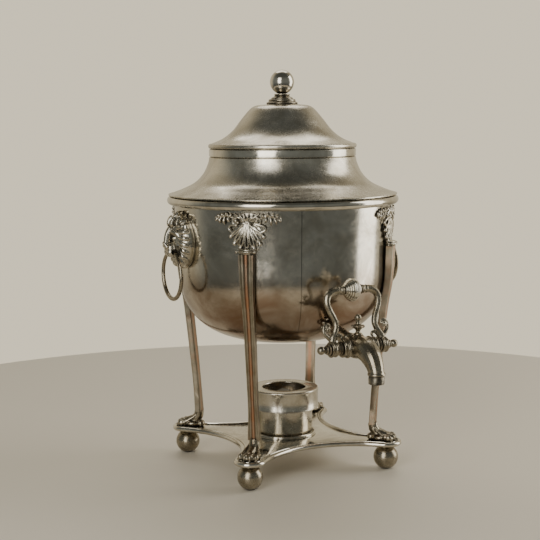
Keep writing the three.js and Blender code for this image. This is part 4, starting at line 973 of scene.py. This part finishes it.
# ---------------------------------------------------------------- palmette capitals
class URN_OT_capitals(bpy.types.Operator):
    """Cast one capital, a palmette with leafy sprays over a small collar, and copy it to the four corners"""

    bl_idname = "urn.capitals"
    bl_label = "Palmette capitals"

    def execute(self, context):
        low, high = limits("capital_back_right")
        fan = mix(low.z, high.z, 0.79)
        collar = low.z + 2.2

        def at(across, up, out=1.6):
            return on_bowl(across, fan + up, out)

        def leaf(points, radii, sides=8):
            return rod("leaf", flowing(points, 5), radii, sides)

        parts = [lumps("shell", [(at(0, -12, -0.4), (1.5, 14, 13)), (at(0, -19, -0.4), (1.6, 9, 7)),
                                 (at(0, 3, -0.4), (1.4, 11, 5))], fine=True)]
        lobes = [(0, -25.4), (6.2, -24.2), (11.4, -19.8), (14.6, -13.6)]
        for side in (-1, 1):
            for across, up in lobes:
                if side < 0 and across == 0:
                    continue
                across *= side
                # two rolled edges run out to each lobe and meet in a bead
                for spread in (-1, 1):
                    bend = spread * 1.5
                    parts.append(leaf([at(0.2 * across, -1, 0.8),
                                       at(0.45 * across + bend * 0.5, 0.42 * up, 2.8),
                                       at(0.8 * across + bend, 0.8 * up, 3), at(across, up, 2.4)],
                                      [0.4, 0.9, 1.05, 0.95]))
                parts.append(lumps("bead", [(at(across * 1.02, up * 1.01, 2.6), (1.6, 1.9, 1.9))]))
            # the looped scroll beside the fan, and the volute above it with its eye
            parts.append(leaf([at(side * 3, -3, 3), at(side * 8, -7.4, 3.2), at(side * 13, -9.4, 2.8),
                               at(side * 16.4, -7.8, 2.4), at(side * 15.8, -4.6, 2.4),
                               at(side * 12, -3.6, 2.8), at(side * 8.6, -4.6, 3)],
                              [0.7, 0.95, 1.1, 1.1, 1, 0.8]))
            parts.append(leaf([at(side * 2, -0.5, 3), at(side * 5, 2.6, 3.2), at(side * 9, 3.4, 3),
                               at(side * 12.4, 1.4, 2.8), at(side * 12, -2, 2.8), at(side * 9, -2.8, 3),
                               at(side * 7, -1, 3)], [0.7, 0.9, 1, 1, 0.9, 0.8]))
            parts.append(lumps("eye", [(at(side * 9.4, 0.2, 3), (1.9, 1.9, 1.9))]))
            # the leafy spray along the rim
            parts.append(leaf([at(side * 12, 2, 1.2), at(side * 18, 4.8, 1.6), at(side * 24, 3.4, 1.4),
                               at(side * 29.5, 2.2, 1.2)], [1.2, 1.2, 0.9, 0.6]))
            blades = [(14.5, 3, 13.8, 6.8), (17.5, 4.4, 19.6, 7.6), (17.5, 3.6, 16.4, -1.4),
                      (21, 4, 24.4, 6.6), (21, 3.4, 21.4, -3.8), (24.4, 3, 28.4, 5.4),
                      (24.6, 2.6, 26.4, -2.6), (27.4, 2.2, 30.4, -0.6)]
            for x0, z0, x1, z1 in blades:
                belly = at(side * mix(x0, x1, 0.5) + side * 0.6, mix(z0, z1, 0.5), 2.2)
                parts.append(leaf([at(side * x0, z0, 1.4), belly, at(side * x1, z1, 1)], [0.7, 1.5, 0.5]))
            parts.append(lumps("bud", [(at(side * 30.2, 2.4, 1.4), (1.3, 1.3, 1.5))]))
        # short plumes fan up under the rim
        for across, up in ((-11.6, 6.6), (-7, 6.9), (-2.4, 7), (2.4, 7), (7, 6.9), (11.6, 6.6)):
            parts.append(leaf([at(0.1 * across, 0.4, 2.6), at(0.62 * across, 0.5 * up, 3.2),
                               at(across, up, 2)],
                              [0.6, 1, 0.8]))
        # the collar on top of the leg
        wall = bowl_radius(collar)
        parts.append(lumps("collar", [
            ((wall + 4, 0, collar), (6.4, 8.4, 1.5)), ((wall + 3.4, 0, collar + 1.9), (5.2, 7.6, 1)),
            ((wall + 3.4, 0, collar - 1.7), (5, 7.8, 0.9)), ((wall + 7.4, -8.4, collar), (1.3, 1.3, 1.4)),
            ((wall + 7.4, 8.4, collar), (1.3, 1.3, 1.4))], fine=True))
        bowl_space = spun("bowl_space", [(0, BOWL_LOW.z), (bowl_radius(low.z - 6) + 0.1, low.z - 6),
                                         (bowl_radius(high.z + 6) + 0.1, high.z + 6), (0, high.z + 6)],
                          steps=96)
        capital = cut_away(cast("palmette", *parts, grain=0.85, rubbed=1), bowl_space)
        settle_copies(CORNERS, capital, "urn", "cast_silver", relief_plate(), "capital", sharp=60)
        return {"FINISHED"}


# ---------------------------------------------------------------- lion masks and ring handles, on the X axis
class URN_OT_masks(bpy.types.Operator):
    """Cast the lion masks, with brow, muzzle, mane and the hole for the ring"""

    bl_idname = "urn.masks"
    bl_label = "Lion masks"

    def execute(self, context):
        wall = bowl_radius(MASK_HEIGHT)
        px, _, pz = RING_PIVOT

        def lock(points, radii):
            return rod("lock", flowing(points, 5), radii, 8)

        parts = [lumps("head", [
            ((wall + 2, 0, HEAD_HEIGHT), (12.4, HEAD_HALF_WIDTH, HEAD_HALF_HEIGHT)),
            ((wall + 6, 0, 231), (9, 12.5, 10)),
            ((px - 0.4, 0, 216.2), (7.6, 6.7, 5.6)), ((px - 5.5, 0, 218.5), (8, 8.2, 8)),
            ((px - 6.4, 0, 207), (6.2, 5.4, 4)), ((wall + 2, 0, 205), (6, 10, 9)),
        ], fine=True)]
        parts.append(lock([(wall + 14, 0, 234), (wall + 17.4, 0, 228), (px + 5, 0, 221.6),
                           (px + 7.4, 0, 219.2)],
                          [3.6, 3.2, 3.2, 3]))
        parts.append(lumps("nose", [
            ((px + 6.2, 0, 218.6), (2.5, 4, 2.2)), ((px + 5.2, -3, 217.4), (2.2, 1.9, 1.6)),
            ((px + 5.2, 3, 217.4), (2.2, 1.9, 1.6)), ((px + 1.5, 0, 209.4), (3.2, 3.8, 1.7))]))
        for side in (-1, 1):
            parts.append(lumps("face", [
                ((px + 0.5, side * 4.2, 212.6), (5.4, 3.2, 4.2)),
                ((wall + 6.6, side * 9, 216.5), (7.4, 6, 8.4)),
                ((wall + 12.6, side * 6.3, 225.6), (2.2, 2.6, 2.1)),
                ((wall + 14.2, side * 6.7, 225.6), (1.3, 1.3, 1.3)),
                ((wall + 5.6, side * 14.4, 235.4), (3.2, 4, 4.6)),
            ]))
            parts.append(lock([(wall + 15.4, side * 2.2, 230.2), (wall + 15, side * 5.5, 231.4),
                               (wall + 12.8, side * 10, 230.2), (wall + 10.4, side * 14, 226)],
                              [1.5, 2.1, 2, 1.4]))
            parts.append(lock([(wall + 13.8, side * 3.4, 224.6), (wall + 13.6, side * 6.4, 223.4),
                               (wall + 11.4, side * 10, 224.6)], [0.7, 0.9, 0.6]))
            parts.append(lock([(wall + 14.6, side * 3.2, 228.2), (wall + 14.4, side * 6.4, 229),
                               (wall + 11.4, side * 10.2, 227)], [0.6, 0.8, 0.6]))
            # forehead tufts that curl forwards over the brow
            for across, up, out in ((3, 238, 13), (8.4, 238.5, 10.4)):
                reach = wall + out
                parts.append(lock([(reach - 8, side * across, up + 8),
                                   (reach - 1, side * across * 1.1, up + 5),
                                   (reach + 1.6, side * across * 1.2, up),
                                   (reach - 1, side * across * 1.4, up - 3.4)],
                                  [1.8, 2.3, 2, 0.8]))
            # the mane: a smooth mass with raised locks that sweep back and down beside the cheek
            for turn in (10, 27, 43, 58, 73, 88, 103, 119, 137, 155):
                strand = []
                for reach in (0.6, 0.74, 0.88, 0.99):
                    a = radians(turn + 26 * (reach - 0.6))
                    strand.append((wall + 2 + 12.4 * sqrt(1 - reach ** 2),
                                   side * HEAD_HALF_WIDTH * reach * sin(a),
                                   HEAD_HEIGHT + HEAD_HALF_HEIGHT * reach * cos(a)))
                parts.append(lock(strand, [0.9, 1.7, 2, 1]))
        parts.append(lock([(wall + 2, 0, 249), (wall + 6.4, 0, 247), (wall + 10.4, 0, 242),
                           (wall + 11.6, 0, 237.6)],
                          [1.2, 3, 3, 1]))
        head = cast("lion_head", *parts, grain=0.85, rubbed=3)
        clear = px - 3.4
        hole = placed(spun("hole", [(0, -30), (RING_HOLE_RADIUS, -30), (RING_HOLE_RADIUS, 30), (0, 30)],
                           steps=24),
                      location=(px, 0, pz), turn=(90, 0, 0))
        bowl_space = spun("bowl_space", [(0, 188), (bowl_radius(188) + 0.1, 188),
                                         (bowl_radius(205) + 0.1, 205), (bowl_radius(256) + 0.1, 256),
                                         (0, 256)], steps=96)
        cut_away(head, hole, bowl_space,
                 block("right", (clear, 7, pz - 14.5), (clear + 20, 30, pz + 6.5)),
                 block("left", (clear, -30, pz - 14.5), (clear + 20, -7, pz + 6.5)),
                 block("below", (clear, -20, pz - 35), (clear + 20, 20, pz - 5.2)))
        settle_copies(SIDES, head, "urn", "cast_silver", relief_plate(), "lion_mask", sharp=60)
        return {"FINISHED"}


class URN_OT_rings(bpy.types.Operator):
    """Bend the two loose ring handles, each a little thicker at the bottom"""

    bl_idname = "urn.rings"
    bl_label = "Ring handles"

    def execute(self, context):
        radius, wire = millimetres("ring_radius"), millimetres("ring_wire_radius")
        px, _, pz = RING_PIVOT
        turns = [2 * pi * i / 96 for i in range(96)]
        points = [(px, radius * sin(a), pz - radius + radius * cos(a)) for a in turns]
        ring = rod("grip_ring", points, [0.94 * wire, wire, 1.12 * wire, wire, 0.94 * wire], sides=20,
                   closed=True)
        settle_copies(SIDES, ring, "ring_{}", "cast_silver", cast_plate(), "ring_handle")
        return {"FINISHED"}


# ---------------------------------------------------------------- tap, modelled round the middle of its plug
def at_tap(piece):
    return placed(piece, location=(0, -TAP_REACH, TAP_HEIGHT))


def along_x(piece):
    """Lays a piece that was spun round Z along the X axis."""
    return placed(piece, turn=(0, 90, 0))


def mirrored_outline(half):
    """A whole outline from the half beyond the middle."""
    return [*[(radius, -along) for radius, along in reversed(half)], *half]


def shank_length():
    """From the middle of the plug to the bowl's wall, along the rising shank."""
    near, far = 0.0, TAP_REACH / cos(radians(SHANK_RISE))
    for _ in range(40):
        length = (near + far) / 2
        height = min(TAP_HEIGHT + length * sin(radians(SHANK_RISE)), BOWL_HIGH.z)
        if TAP_REACH - length * cos(radians(SHANK_RISE)) > bowl_radius(height):
            near = length
        else:
            far = length
    return near


def along_shank(piece):
    return placed(piece, turn=(SHANK_RISE - 90, 0, 0))


class URN_OT_tap(bpy.types.Operator):
    """Cast the tap's body with its curved spout, and spin its outlet, wall rosette and crest"""

    bl_idname = "urn.tap"
    bl_label = "Tap body"

    def execute(self, context):
        half = [(10.2, 0), (10, 2.6), (9.2, 5.6), (7.9, 8.2), (7.3, 9.6), (7.3, 10), (8.6, 10.5),
                (8.9, 11.4), (8.6, 12.3), (7.3, 12.8), (7, 13.4), (7, 14.6), (7.9, 15), (8, 16.4),
                (7.7, 17), (0, 17)]
        barrel = along_x(spun("barrel", [*mirrored_outline(half)[:len(half)], *half[1:]], steps=48))
        reach = shank_length()
        shank = along_shank(spun("shank", [
            (0, 0), (SHANK_RADIUS, 0), (SHANK_RADIUS, 13), (7.4, 13.8), (7.7, 14.8), (7.4, 15.8),
            (SHANK_RADIUS, 16.6), (SHANK_RADIUS - 0.2, reach + 6), (0, reach + 6)], steps=40))
        path = flowing([(0, 3, 0), (0, -8, 0.5), (0, -16, -1.4), (0, -23.4, -6.2), (0, -28.2, -12.4),
                        (0, -SPOUT_REACH, -18.6)], 5)
        spout = rod("spout", path, [9.8, 10.2, 10, 9, 7.6, 6.7], sides=28)
        parts = [barrel, shank, spout]
        foot = -SPOUT_DROP + 7.6
        flare = spun("flare", [(0, foot + 4.6), (6.2, foot + 4.4), (6.7, foot + 2.4), (7.7, foot + 0.9),
                               (7.8, foot - 0.4), (5.6, foot - 0.6), (5.6, -SPOUT_DROP),
                               (0, -SPOUT_DROP)], steps=40)
        boss = spun("boss", [(0, 0), (6.4, 7), (5.4, 9.6), (4.4, 10.8), (4.2, 11), (0, 11)], steps=32)
        parts += [placed(flare, location=(0, -SPOUT_REACH, 0)), boss]
        casting = cast("tap_casting", *parts, grain=0.8, rubbed=2)
        bore = along_x(spun("bore", [(0, -30), (5, -30), (5, 30), (0, 30)], steps=32))
        mouth = placed(spun("mouth", [(0, -40), (3.4, -40), (3.4, -12), (0, -12)], steps=24),
                       location=(0, -SPOUT_REACH, 0))
        cut_away(casting, bore, mouth)
        settle(at_tap(casting), "urn", "cast_silver", cast_plate(), "tap_body", sharp=60)

        low, high = -SPOUT_DROP - 0.6, -SPOUT_DROP + 6.7
        nozzle = [(3.6, low + 0.4), (4.2, low), (6.3, low), (6.8, low + 0.5), (6.9, high - 1.4),
                  (6.6, high - 0.9), (6.9, high - 0.4), (6.7, high), (3.6, high)]
        nozzle = placed(spun("tap_nozzle", nozzle, steps=48, ring=True), location=(0, -SPOUT_REACH, 0))
        settle(at_tap(nozzle), "urn", "dark_outlet", blackened_outlet(), "tap_outlet")

        front = reach - 9
        rosette = [(6.7, front), (7.8, front), (8.3, front + 0.5), (8.5, front + 1.2), (7.9, front + 1.8),
                   (7.9, front + 2.2), (9.2, front + 2.8), (9.5, front + 3.6), (9.2, front + 4.4),
                   (8.4, front + 5.2), (8.4, reach + 9), (6.7, reach + 9)]
        rosette = spun("tap_wall_rosette", rosette, steps=64, ring=True)
        petals = []
        for i in range(12):
            a = 2 * pi * i / 12
            petals.append(((8.7 * cos(a), 8.7 * sin(a), front + 4.2), (1.2, 1.5, 1.6),
                           (0, 0, degrees(a))))
        rosette = at_tap(along_shank(joined("tap_wall_rosette", rosette, lumps("petals", petals))))
        bowl_space = spun("bowl_space", [(0, 122.2), *[(bowl_radius(122.1 + i * 4) + 0.1, 122.1 + i * 4)
                                                       for i in range(20)], (0, 198.1)], steps=96)
        settle(cut_away(rosette, bowl_space), "urn", "cast_silver", cast_plate(), "tap_escutcheon")

        crest = spun("tap_crest", [(0, 11.3), (3.7, 11.3), (3.6, 12), (2.4, 12.8), (1.9, 14), (2.4, 15.2),
                                   (4, 16.8), (5, 18), (4.8, 18.8), (3, 19.8), (2, 20.8), (1.9, 22),
                                   (2.5, 22.6), (2, 23.2), *arc((0, 25.9), 3.1, -50, 90, 14)[:-1],
                                   (0, 29)], steps=40)
        leaves = []
        for i in range(8):
            a = 2 * pi * i / 8
            leaves.append(((4.5 * cos(a), 4.5 * sin(a), 18.2), (1.7, 0.9, 1.2), (0, -24, degrees(a))))
        settle(at_tap(joined("tap_crest", crest, lumps("leaves", leaves))), "urn", "cast_silver",
               cast_plate(), "tap_top_finial")
        return {"FINISHED"}


class URN_OT_tap_key(bpy.types.Operator):
    """Bend the looped tap handle with its scrolls, and spin its knob, spindle and end balls"""

    bl_idname = "urn.tap_key"
    bl_label = "Tap handle"

    def execute(self, context):
        def at(across, height, out=0.0):
            return (across, HANDLE_LEAN * height / HANDLE_HEIGHT - out, height)

        def limb(points, radii, sides=12):
            return rod("limb", flowing(points, 6), radii, sides)

        eye_start, eye = 22.3, 6.0
        middle = eye_start + eye / 2
        tall = HANDLE_HEIGHT
        parts = []
        for side in (-1, 1):
            arm = [(middle, 4.5), (24.2, 9), (21.2, 14), (19.4, 19.6), (20.6, 25.4), (23.8, 32),
                   (25.8, 38.6), (25, 44), (21.4, 47.6), (16.4, tall), (5, tall)]
            parts.append(limb([at(side * across, up) for across, up in arm],
                              [3.3, 3, 2.8, 2.7, 2.7, 2.8, 3, 3.2, 3.5, 3.5, 3.2]))
            # the scroll that curls outwards beside each arm, with a rosette in its eye
            scroll = [(24.6, 6.6), (28, 9.4), (31.4, 13.4), (32, 18), (29.6, 21.4), (26.6, 20.8),
                      (26, 18.2)]
            parts.append(limb([at(side * across, up) for across, up in scroll],
                              [2.1, 1.9, 1.7, 1.5, 1.4, 1.2, 0.9]))
            parts.append(lumps("rosette", [(at(side * 28.4, 17.6, 0.8), (2.6, 1.7, 2.6)),
                                           (at(side * 28.4, 17.6, 2.2), (1.2, 0.9, 1.2))]))
            for i in range(6):
                a = 2 * pi * i / 6
                petal = at(side * 28.4 + 2 * cos(a), 17.6 + 2 * sin(a), 1.6)
                parts.append(lumps("petal", [(petal, (0.9, 0.7, 0.9))]))
            # the small leaf that curls inwards at the foot of each arm
            curl = [(24, 5), (21.6, 8.8), (18.4, 11.6), (15.8, 11.2), (15, 9.2), (16.6, 8.4)]
            parts.append(limb([at(side * across, up) for across, up in curl],
                              [1.8, 1.7, 1.5, 1.3, 1.1, 0.9]))
            turned = along_x(spun("eye", [
                (2.9, eye_start), (6.6, eye_start), (7, eye_start + 0.5), (7, eye_start + 1.6),
                (6.3, eye_start + 2.1), (6.3, eye_start + 3.9), (7, eye_start + 4.4),
                (7, eye_start + 5.5), (6.6, eye_start + eye), (2.9, eye_start + eye)], steps=40,
                                  ring=True))
            parts.append(placed(turned, turn=(0, 0, 0 if side > 0 else 180)))
            parts.append(lumps("reels", [
                (at(side * 9.3, tall), (0.9, 4.3, 4.3)), (at(side * 11.2, tall), (1.2, 3.9, 3.9)),
                (at(side * 14.4, tall), (1.1, 3.8, 3.8))], fine=True))
        grip = cast("tap_grip", *parts, grain=0.75, rubbed=2)
        collars = along_x(spun("collars", [(0, -eye_start), (6.3, -eye_start), (6.3, eye_start),
                                           (0, eye_start)],
                               steps=32))
        bore = along_x(spun("bore", [(0, -40), (2.7, -40), (2.7, 40), (0, 40)], steps=24))
        cut_away(grip, collars, bore)
        settle(at_tap(grip), "tap_key", "cast_silver", cast_plate(), "tap_handle", sharp=60)

        size = millimetres("knob_radius") / 10.4
        beads = [(4.3, 6.9, 0.6), (5.6, 5.6, 0.8), (7.0, 4.2, 0.85), (8.3, 2.7, 0.95), (9.3, 0.9, 1.05)]
        half = []
        for radius, along, bead in reversed(beads):
            half += arc((radius * size, along), bead, -50, 75, 7)
        half.append((2.9, 7.5))
        knob = along_x(spun("tap_grip_knob", mirrored_outline(half), steps=72, ring=True))
        placed(knob, location=(0, HANDLE_LEAN, tall))
        settle(at_tap(knob), "tap_key", "cast_silver", rubbed_plate(), "tap_handle_knob")

        half = [(4.7, 0), (4.7, 17.3), (5.4, 17.3), (5.8, 17.8), (5.8, 18.8), (4.9, 19.3), (4.9, 20),
                (5.8, 20.5), (5.8, 21.6), (5.4, 22), (2.6, 22.1), (2.6, 32.3), (0, 32.3)]
        spindle = along_x(spun("tap_spindle", [*mirrored_outline(half)[:len(half)], *half[1:]], steps=48))
        settle(at_tap(spindle), "tap_key", "cast_silver", cast_plate(), "tap_plug", "tap_plug_sleeve")

        start = 28.6
        end_ball = [(0, start + 4.2), (2.9, start + 4.2), (2.9, start), (4.8, start),
                    *arc((4.7, start + 0.6), 0.6, -60, 90, 5), (4, start + 1.5), (3, start + 2),
                    *arc((3.3, start + 2.8), 0.7, -70, 80, 5), (2.5, start + 3.8), (2.2, start + 4.6),
                    *arc((0, start + 8), 3.6, -52, 90, 16)[:-1], (0, start + 11.6)]
        for side, heading in SIDES.items():
            ball = along_x(spun(f"tap_end_ball_{side}", end_ball, steps=48))
            placed(ball, turn=(0, 0, heading))
            settle(at_tap(ball), "tap_key", "cast_silver", cast_plate(), f"tap_end_finial_{side}")
        return {"FINISHED"}


# ---------------------------------------------------------------- spirit lamp
class URN_OT_lamp(bpy.types.Operator):
    """Spin the spirit lamp: its seat, pot, cover, burner plate and wick"""

    bl_idname = "urn.lamp"
    bl_label = "Spirit lamp"

    def execute(self, context):
        low, high = limits("lamp_seat")
        inner, outer = high.x - 2.5, high.x
        seat = [(inner, low.z), (outer, low.z), (outer, low.z + 0.7), (outer - 0.6, low.z + 1.1),
                *arc((mix(inner, outer, 0.5), high.z - 0.9), 0.9, -20, 200, 10)[:-1], (inner, low.z + 1)]
        settle(spun("lamp_socket", seat, ring=True), "urn", "cast_silver", rubbed_plate(), "lamp_seat")

        radius, floor, top = POT_HIGH.x, POT_LOW.z, POT_HIGH.z
        pot = [(0, floor + 0.5), (radius - 3, floor + 0.5), (radius - 2.4, floor), (radius - 0.5, floor),
               (radius, floor + 0.5), (radius, floor + 1.6), (radius - 0.35, floor + 2),
               (radius - 0.35, floor + 2.8), (radius - 0.1, floor + 3.2), (radius - 0.1, top - 0.3),
               (radius - 0.4, top), (radius - POT_WALL, top), (radius - POT_WALL, floor + 1.8),
               (0, floor + 1.8)]
        settle(spun("lamp_can", pot), "lamp", "bright_silver", lamp_plate(), "lamp_pot")

        low, high, wide, mouth = COVER_LOW.z, COVER_HIGH.z, COVER_HIGH.x, 21.1
        cover = [(wide - 1.2, low), *arc((wide - 0.75, low + 0.75), 0.75, -60, 60, 7),
                 (wide - 0.55, low + 1.7), (wide - 0.5, high - 3.2), (wide - 0.1, high - 2.6),
                 *arc((wide - 1.1, high - 1.25), 1.1, -10, 95, 9), (wide - 2.6, high - 0.6),
                 (mix(wide, mouth, 0.5), high - 0.35), (mouth + 2.2, high - 0.5),
                 *arc((mouth + 0.9, high - 0.9), 0.9, 70, 250, 10), (mouth + 1.6, high - 1.6),
                 (mix(wide, mouth, 0.5), high - 1.5), (wide - 1.9, high - 1.6), (wide - 1.7, high - 2.4)]
        settle(spun("lamp_shade", cover, ring=True), "lamp_cover", "bright_silver", lamp_plate(),
               "lamp_cover")

        burner_low, burner_high = limits("lamp_burner")
        rim, tube, deck = burner_high.x, 7.0, burner_high.z - 5
        plate = [(tube - 1.1, burner_low.z), (tube, burner_low.z), (tube, deck - 1.2),
                 (rim - 0.6, deck - 1.2), (rim, deck - 0.6), (rim - 0.3, deck), (rim - 3, deck - 0.1),
                 (tube + 3.2, deck - 0.1), (tube + 1.4, deck + 0.5), (tube + 0.2, deck + 1.8),
                 (tube, burner_high.z - 0.6), (tube + 0.15, burner_high.z - 0.2),
                 (tube - 0.4, burner_high.z), (tube - 1.1, burner_high.z - 0.2)]
        settle(spun("lamp_burner_plate", plate, steps=96, ring=True), "lamp", "nut_brass", dull_brass(),
               "lamp_burner")

        wick_low, wick_high = limits("lamp_wick")
        thick = wick_high.x
        side = [(thick, mix(wick_low.z, wick_high.z - 1.4, i / 20)) for i in range(21)]
        outline = [(0, wick_low.z), *side, (thick - 0.5, wick_high.z - 0.6),
                   (thick - 1.6, wick_high.z - 0.2), (2.4, wick_high.z - 0.3), (0, wick_high.z - 0.5)]
        wick = spun("lamp_wick_cotton", outline, steps=48)
        fray = bpy.data.textures.new("fray", type="CLOUDS")
        fray.noise_scale = 1.1
        finished(wick, "DISPLACE", texture=fray, strength=0.5, mid_level=0.75)
        settle(wick, "lamp", "wick_cotton", wick_yarn(), "lamp_wick", sharp=60)
        return {"FINISHED"}


# ---------------------------------------------------------------- floor, light and camera
def soft_light(name, place, aim, size, watts, tint=(1, 1, 1)):
    """A soft rectangular light, its place and its aim in metres."""
    put_down()
    bpy.ops.object.light_add(type="AREA", location=place)
    light = bpy.context.object
    light.name = name
    light.data.shape = "RECTANGLE"
    light.data.size, light.data.size_y = size
    light.data.energy = watts
    light.data.color = tint
    light.rotation_euler = (Vector(aim) - Vector(place)).to_track_quat("-Z", "Y").to_euler()
    return light


class URN_OT_stage(bpy.types.Operator):
    """Lay the plain pale floor, hang the soft studio lights and set up the camera"""

    bl_idname = "urn.stage"
    bl_label = "Stage"

    def execute(self, context):
        put_down()
        axis = AXIS_Y * MM
        bpy.ops.mesh.primitive_circle_add(vertices=160, radius=0.62, fill_type="NGON",
                                          location=(0, axis, 0))
        floor = bpy.context.object
        floor.name = "floor"
        bpy.ops.object.mode_set(mode="EDIT")
        bpy.ops.mesh.select_all(action="SELECT")
        bpy.ops.mesh.inset(thickness=0.01)
        bpy.ops.object.mode_set(mode="OBJECT")
        material, tree, shader = new_material("floor_matt_board")
        place = add_node(tree, "ShaderNodeTexCoord").outputs["Object"]
        fibres = add_node(tree, "ShaderNodeTexNoise",
                          {"Vector": place, "Scale": per_metre(3), "Detail": 3})
        relief = add_node(tree, "ShaderNodeBump", {
            "Strength": 0.05, "Distance": 0.1 * MM, "Height": fibres.outputs["Fac"]})
        tree.links.new(relief.outputs[0], shader.inputs["Normal"])
        shader.inputs["Base Color"].default_value = colour("floor")
        shader.inputs["Roughness"].default_value = 0.5
        floor.data.materials.append(material)

        world = bpy.data.worlds.new("studio")
        bpy.context.scene.world = world
        world.use_nodes = True
        tree = world.node_tree
        tree.nodes.clear()
        seen = add_node(tree, "ShaderNodeBackground", {"Color": colour("backdrop"), "Strength": 1.35})
        # what the metal mirrors: a pale wall behind, a dim room in front and a dark ceiling
        direction = add_node(tree, "ShaderNodeTexCoord").outputs["Generated"]
        behind = add_node(tree, "ShaderNodeVectorMath", {0: direction, 1: PALE_WALL},
                          operation="DOT_PRODUCT")
        wall = add_node(tree, "ShaderNodeMapRange", {
            "Value": behind.outputs["Value"], "From Min": -0.15, "From Max": 0.55},
                        interpolation_type="SMOOTHSTEP")
        level = add_node(tree, "ShaderNodeMapRange", {
            "Value": wall.outputs["Result"], "To Min": 0.34, "To Max": 0.95})
        tint = add_node(tree, "ShaderNodeMix", {
            0: wall.outputs["Result"], 6: colour("room"), 7: colour("backdrop")}, data_type="RGBA")
        parts = add_node(tree, "ShaderNodeSeparateXYZ", {0: direction})
        ceiling = add_node(tree, "ShaderNodeMapRange", {
            "Value": parts.outputs["Z"], "From Min": 0.35, "From Max": 0.85, "To Min": 1.0,
            "To Max": 0.45}, interpolation_type="SMOOTHSTEP")
        below = add_node(tree, "ShaderNodeMapRange", {
            "Value": parts.outputs["Z"], "From Min": -0.45, "From Max": -0.05, "To Min": 0.3,
            "To Max": 1.0})
        shaded = add_node(tree, "ShaderNodeMath", {
            0: level.outputs["Result"], 1: ceiling.outputs["Result"]}, operation="MULTIPLY")
        level = add_node(tree, "ShaderNodeMath", {
            0: shaded.outputs[0], 1: below.outputs["Result"]}, operation="MULTIPLY")
        room = add_node(tree, "ShaderNodeBackground",
                        {"Color": tint.outputs[2], "Strength": level.outputs[0]})
        ray = add_node(tree, "ShaderNodeLightPath")
        chosen = add_node(tree, "ShaderNodeMixShader", {
            0: ray.outputs["Is Camera Ray"], 1: room.outputs[0], 2: seen.outputs[0]})
        add_node(tree, "ShaderNodeOutputWorld", {"Surface": chosen.outputs[0]})

        middle = (0, axis, 0.2)
        soft_light("window_left", (-1.25, -1.0 + axis, 0.72), middle, (0.8, 1.5), 16, (1, 0.98, 0.94))
        soft_light("window_right", (1.24, -0.42 + axis, 0.5), middle, (0.72, 1.55), 13, (1, 0.98, 0.94))
        soft_light("overhead_back", (0.5, 1.0 + axis, 1.9), middle, (1.6, 1.2), 12, (1, 0.97, 0.92))

        azimuth = radians(CAMERA_AZIMUTH)
        bpy.ops.object.camera_add()
        camera = bpy.context.object
        camera.name = "camera"
        turn = (Matrix.Rotation(radians(CAMERA_AZIMUTH + CAMERA_YAW), 4, "Z")
                @ Matrix.Rotation(radians(90 - CAMERA_PITCH), 4, "X")
                @ Matrix.Rotation(radians(CAMERA_ROLL), 4, "Z"))
        camera.matrix_world = Matrix.Translation(
            (sin(azimuth) * CAMERA_DISTANCE, -cos(azimuth) * CAMERA_DISTANCE + axis,
             CAMERA_HEIGHT)) @ turn
        camera.data.sensor_width = 36
        camera.data.lens = CAMERA_LENS
        bpy.context.scene.camera = camera
        return {"FINISHED"}


# ---------------------------------------------------------------- panel and registering
PIECES = (URN_OT_bowl, URN_OT_rim, URN_OT_shoulder, URN_OT_lid, URN_OT_finial, URN_OT_base, URN_OT_feet,
          URN_OT_paws, URN_OT_legs, URN_OT_capitals, URN_OT_masks, URN_OT_rings, URN_OT_tap,
          URN_OT_tap_key, URN_OT_lamp, URN_OT_stage)


class URN_PT_panel(bpy.types.Panel):
    """Sizes, colours and the pieces in the order they are made"""

    bl_idname = "URN_PT_panel"
    bl_label = "Silver Plated Urn"
    bl_space_type = "VIEW_3D"
    bl_region_type = "UI"
    bl_category = "Urn"

    def draw(self, context):
        for settings in (context.scene.urn_sizes, context.scene.urn_colours):
            column = self.layout.column(align=True)
            for name in settings.bl_rna.properties.keys():
                if name not in ("rna_type", "name"):
                    column.prop(settings, name)
        column = self.layout.column(align=True)
        for piece in PIECES:
            column.operator(piece.bl_idname)


CLASSES = (UrnSizes, UrnColours, *PIECES, URN_PT_panel)


def register():
    for each in CLASSES:
        bpy.utils.register_class(each)
    bpy.types.Scene.urn_sizes = bpy.props.PointerProperty(type=UrnSizes)
    bpy.types.Scene.urn_colours = bpy.props.PointerProperty(type=UrnColours)


def unregister():
    del bpy.types.Scene.urn_colours
    del bpy.types.Scene.urn_sizes
    for each in reversed(CLASSES):
        bpy.utils.unregister_class(each)


def main():
    register()
    for piece in PIECES:
        group, name = piece.bl_idname.split(".")
        getattr(getattr(bpy.ops, group), name)()


if __name__ == "__main__":
    main()
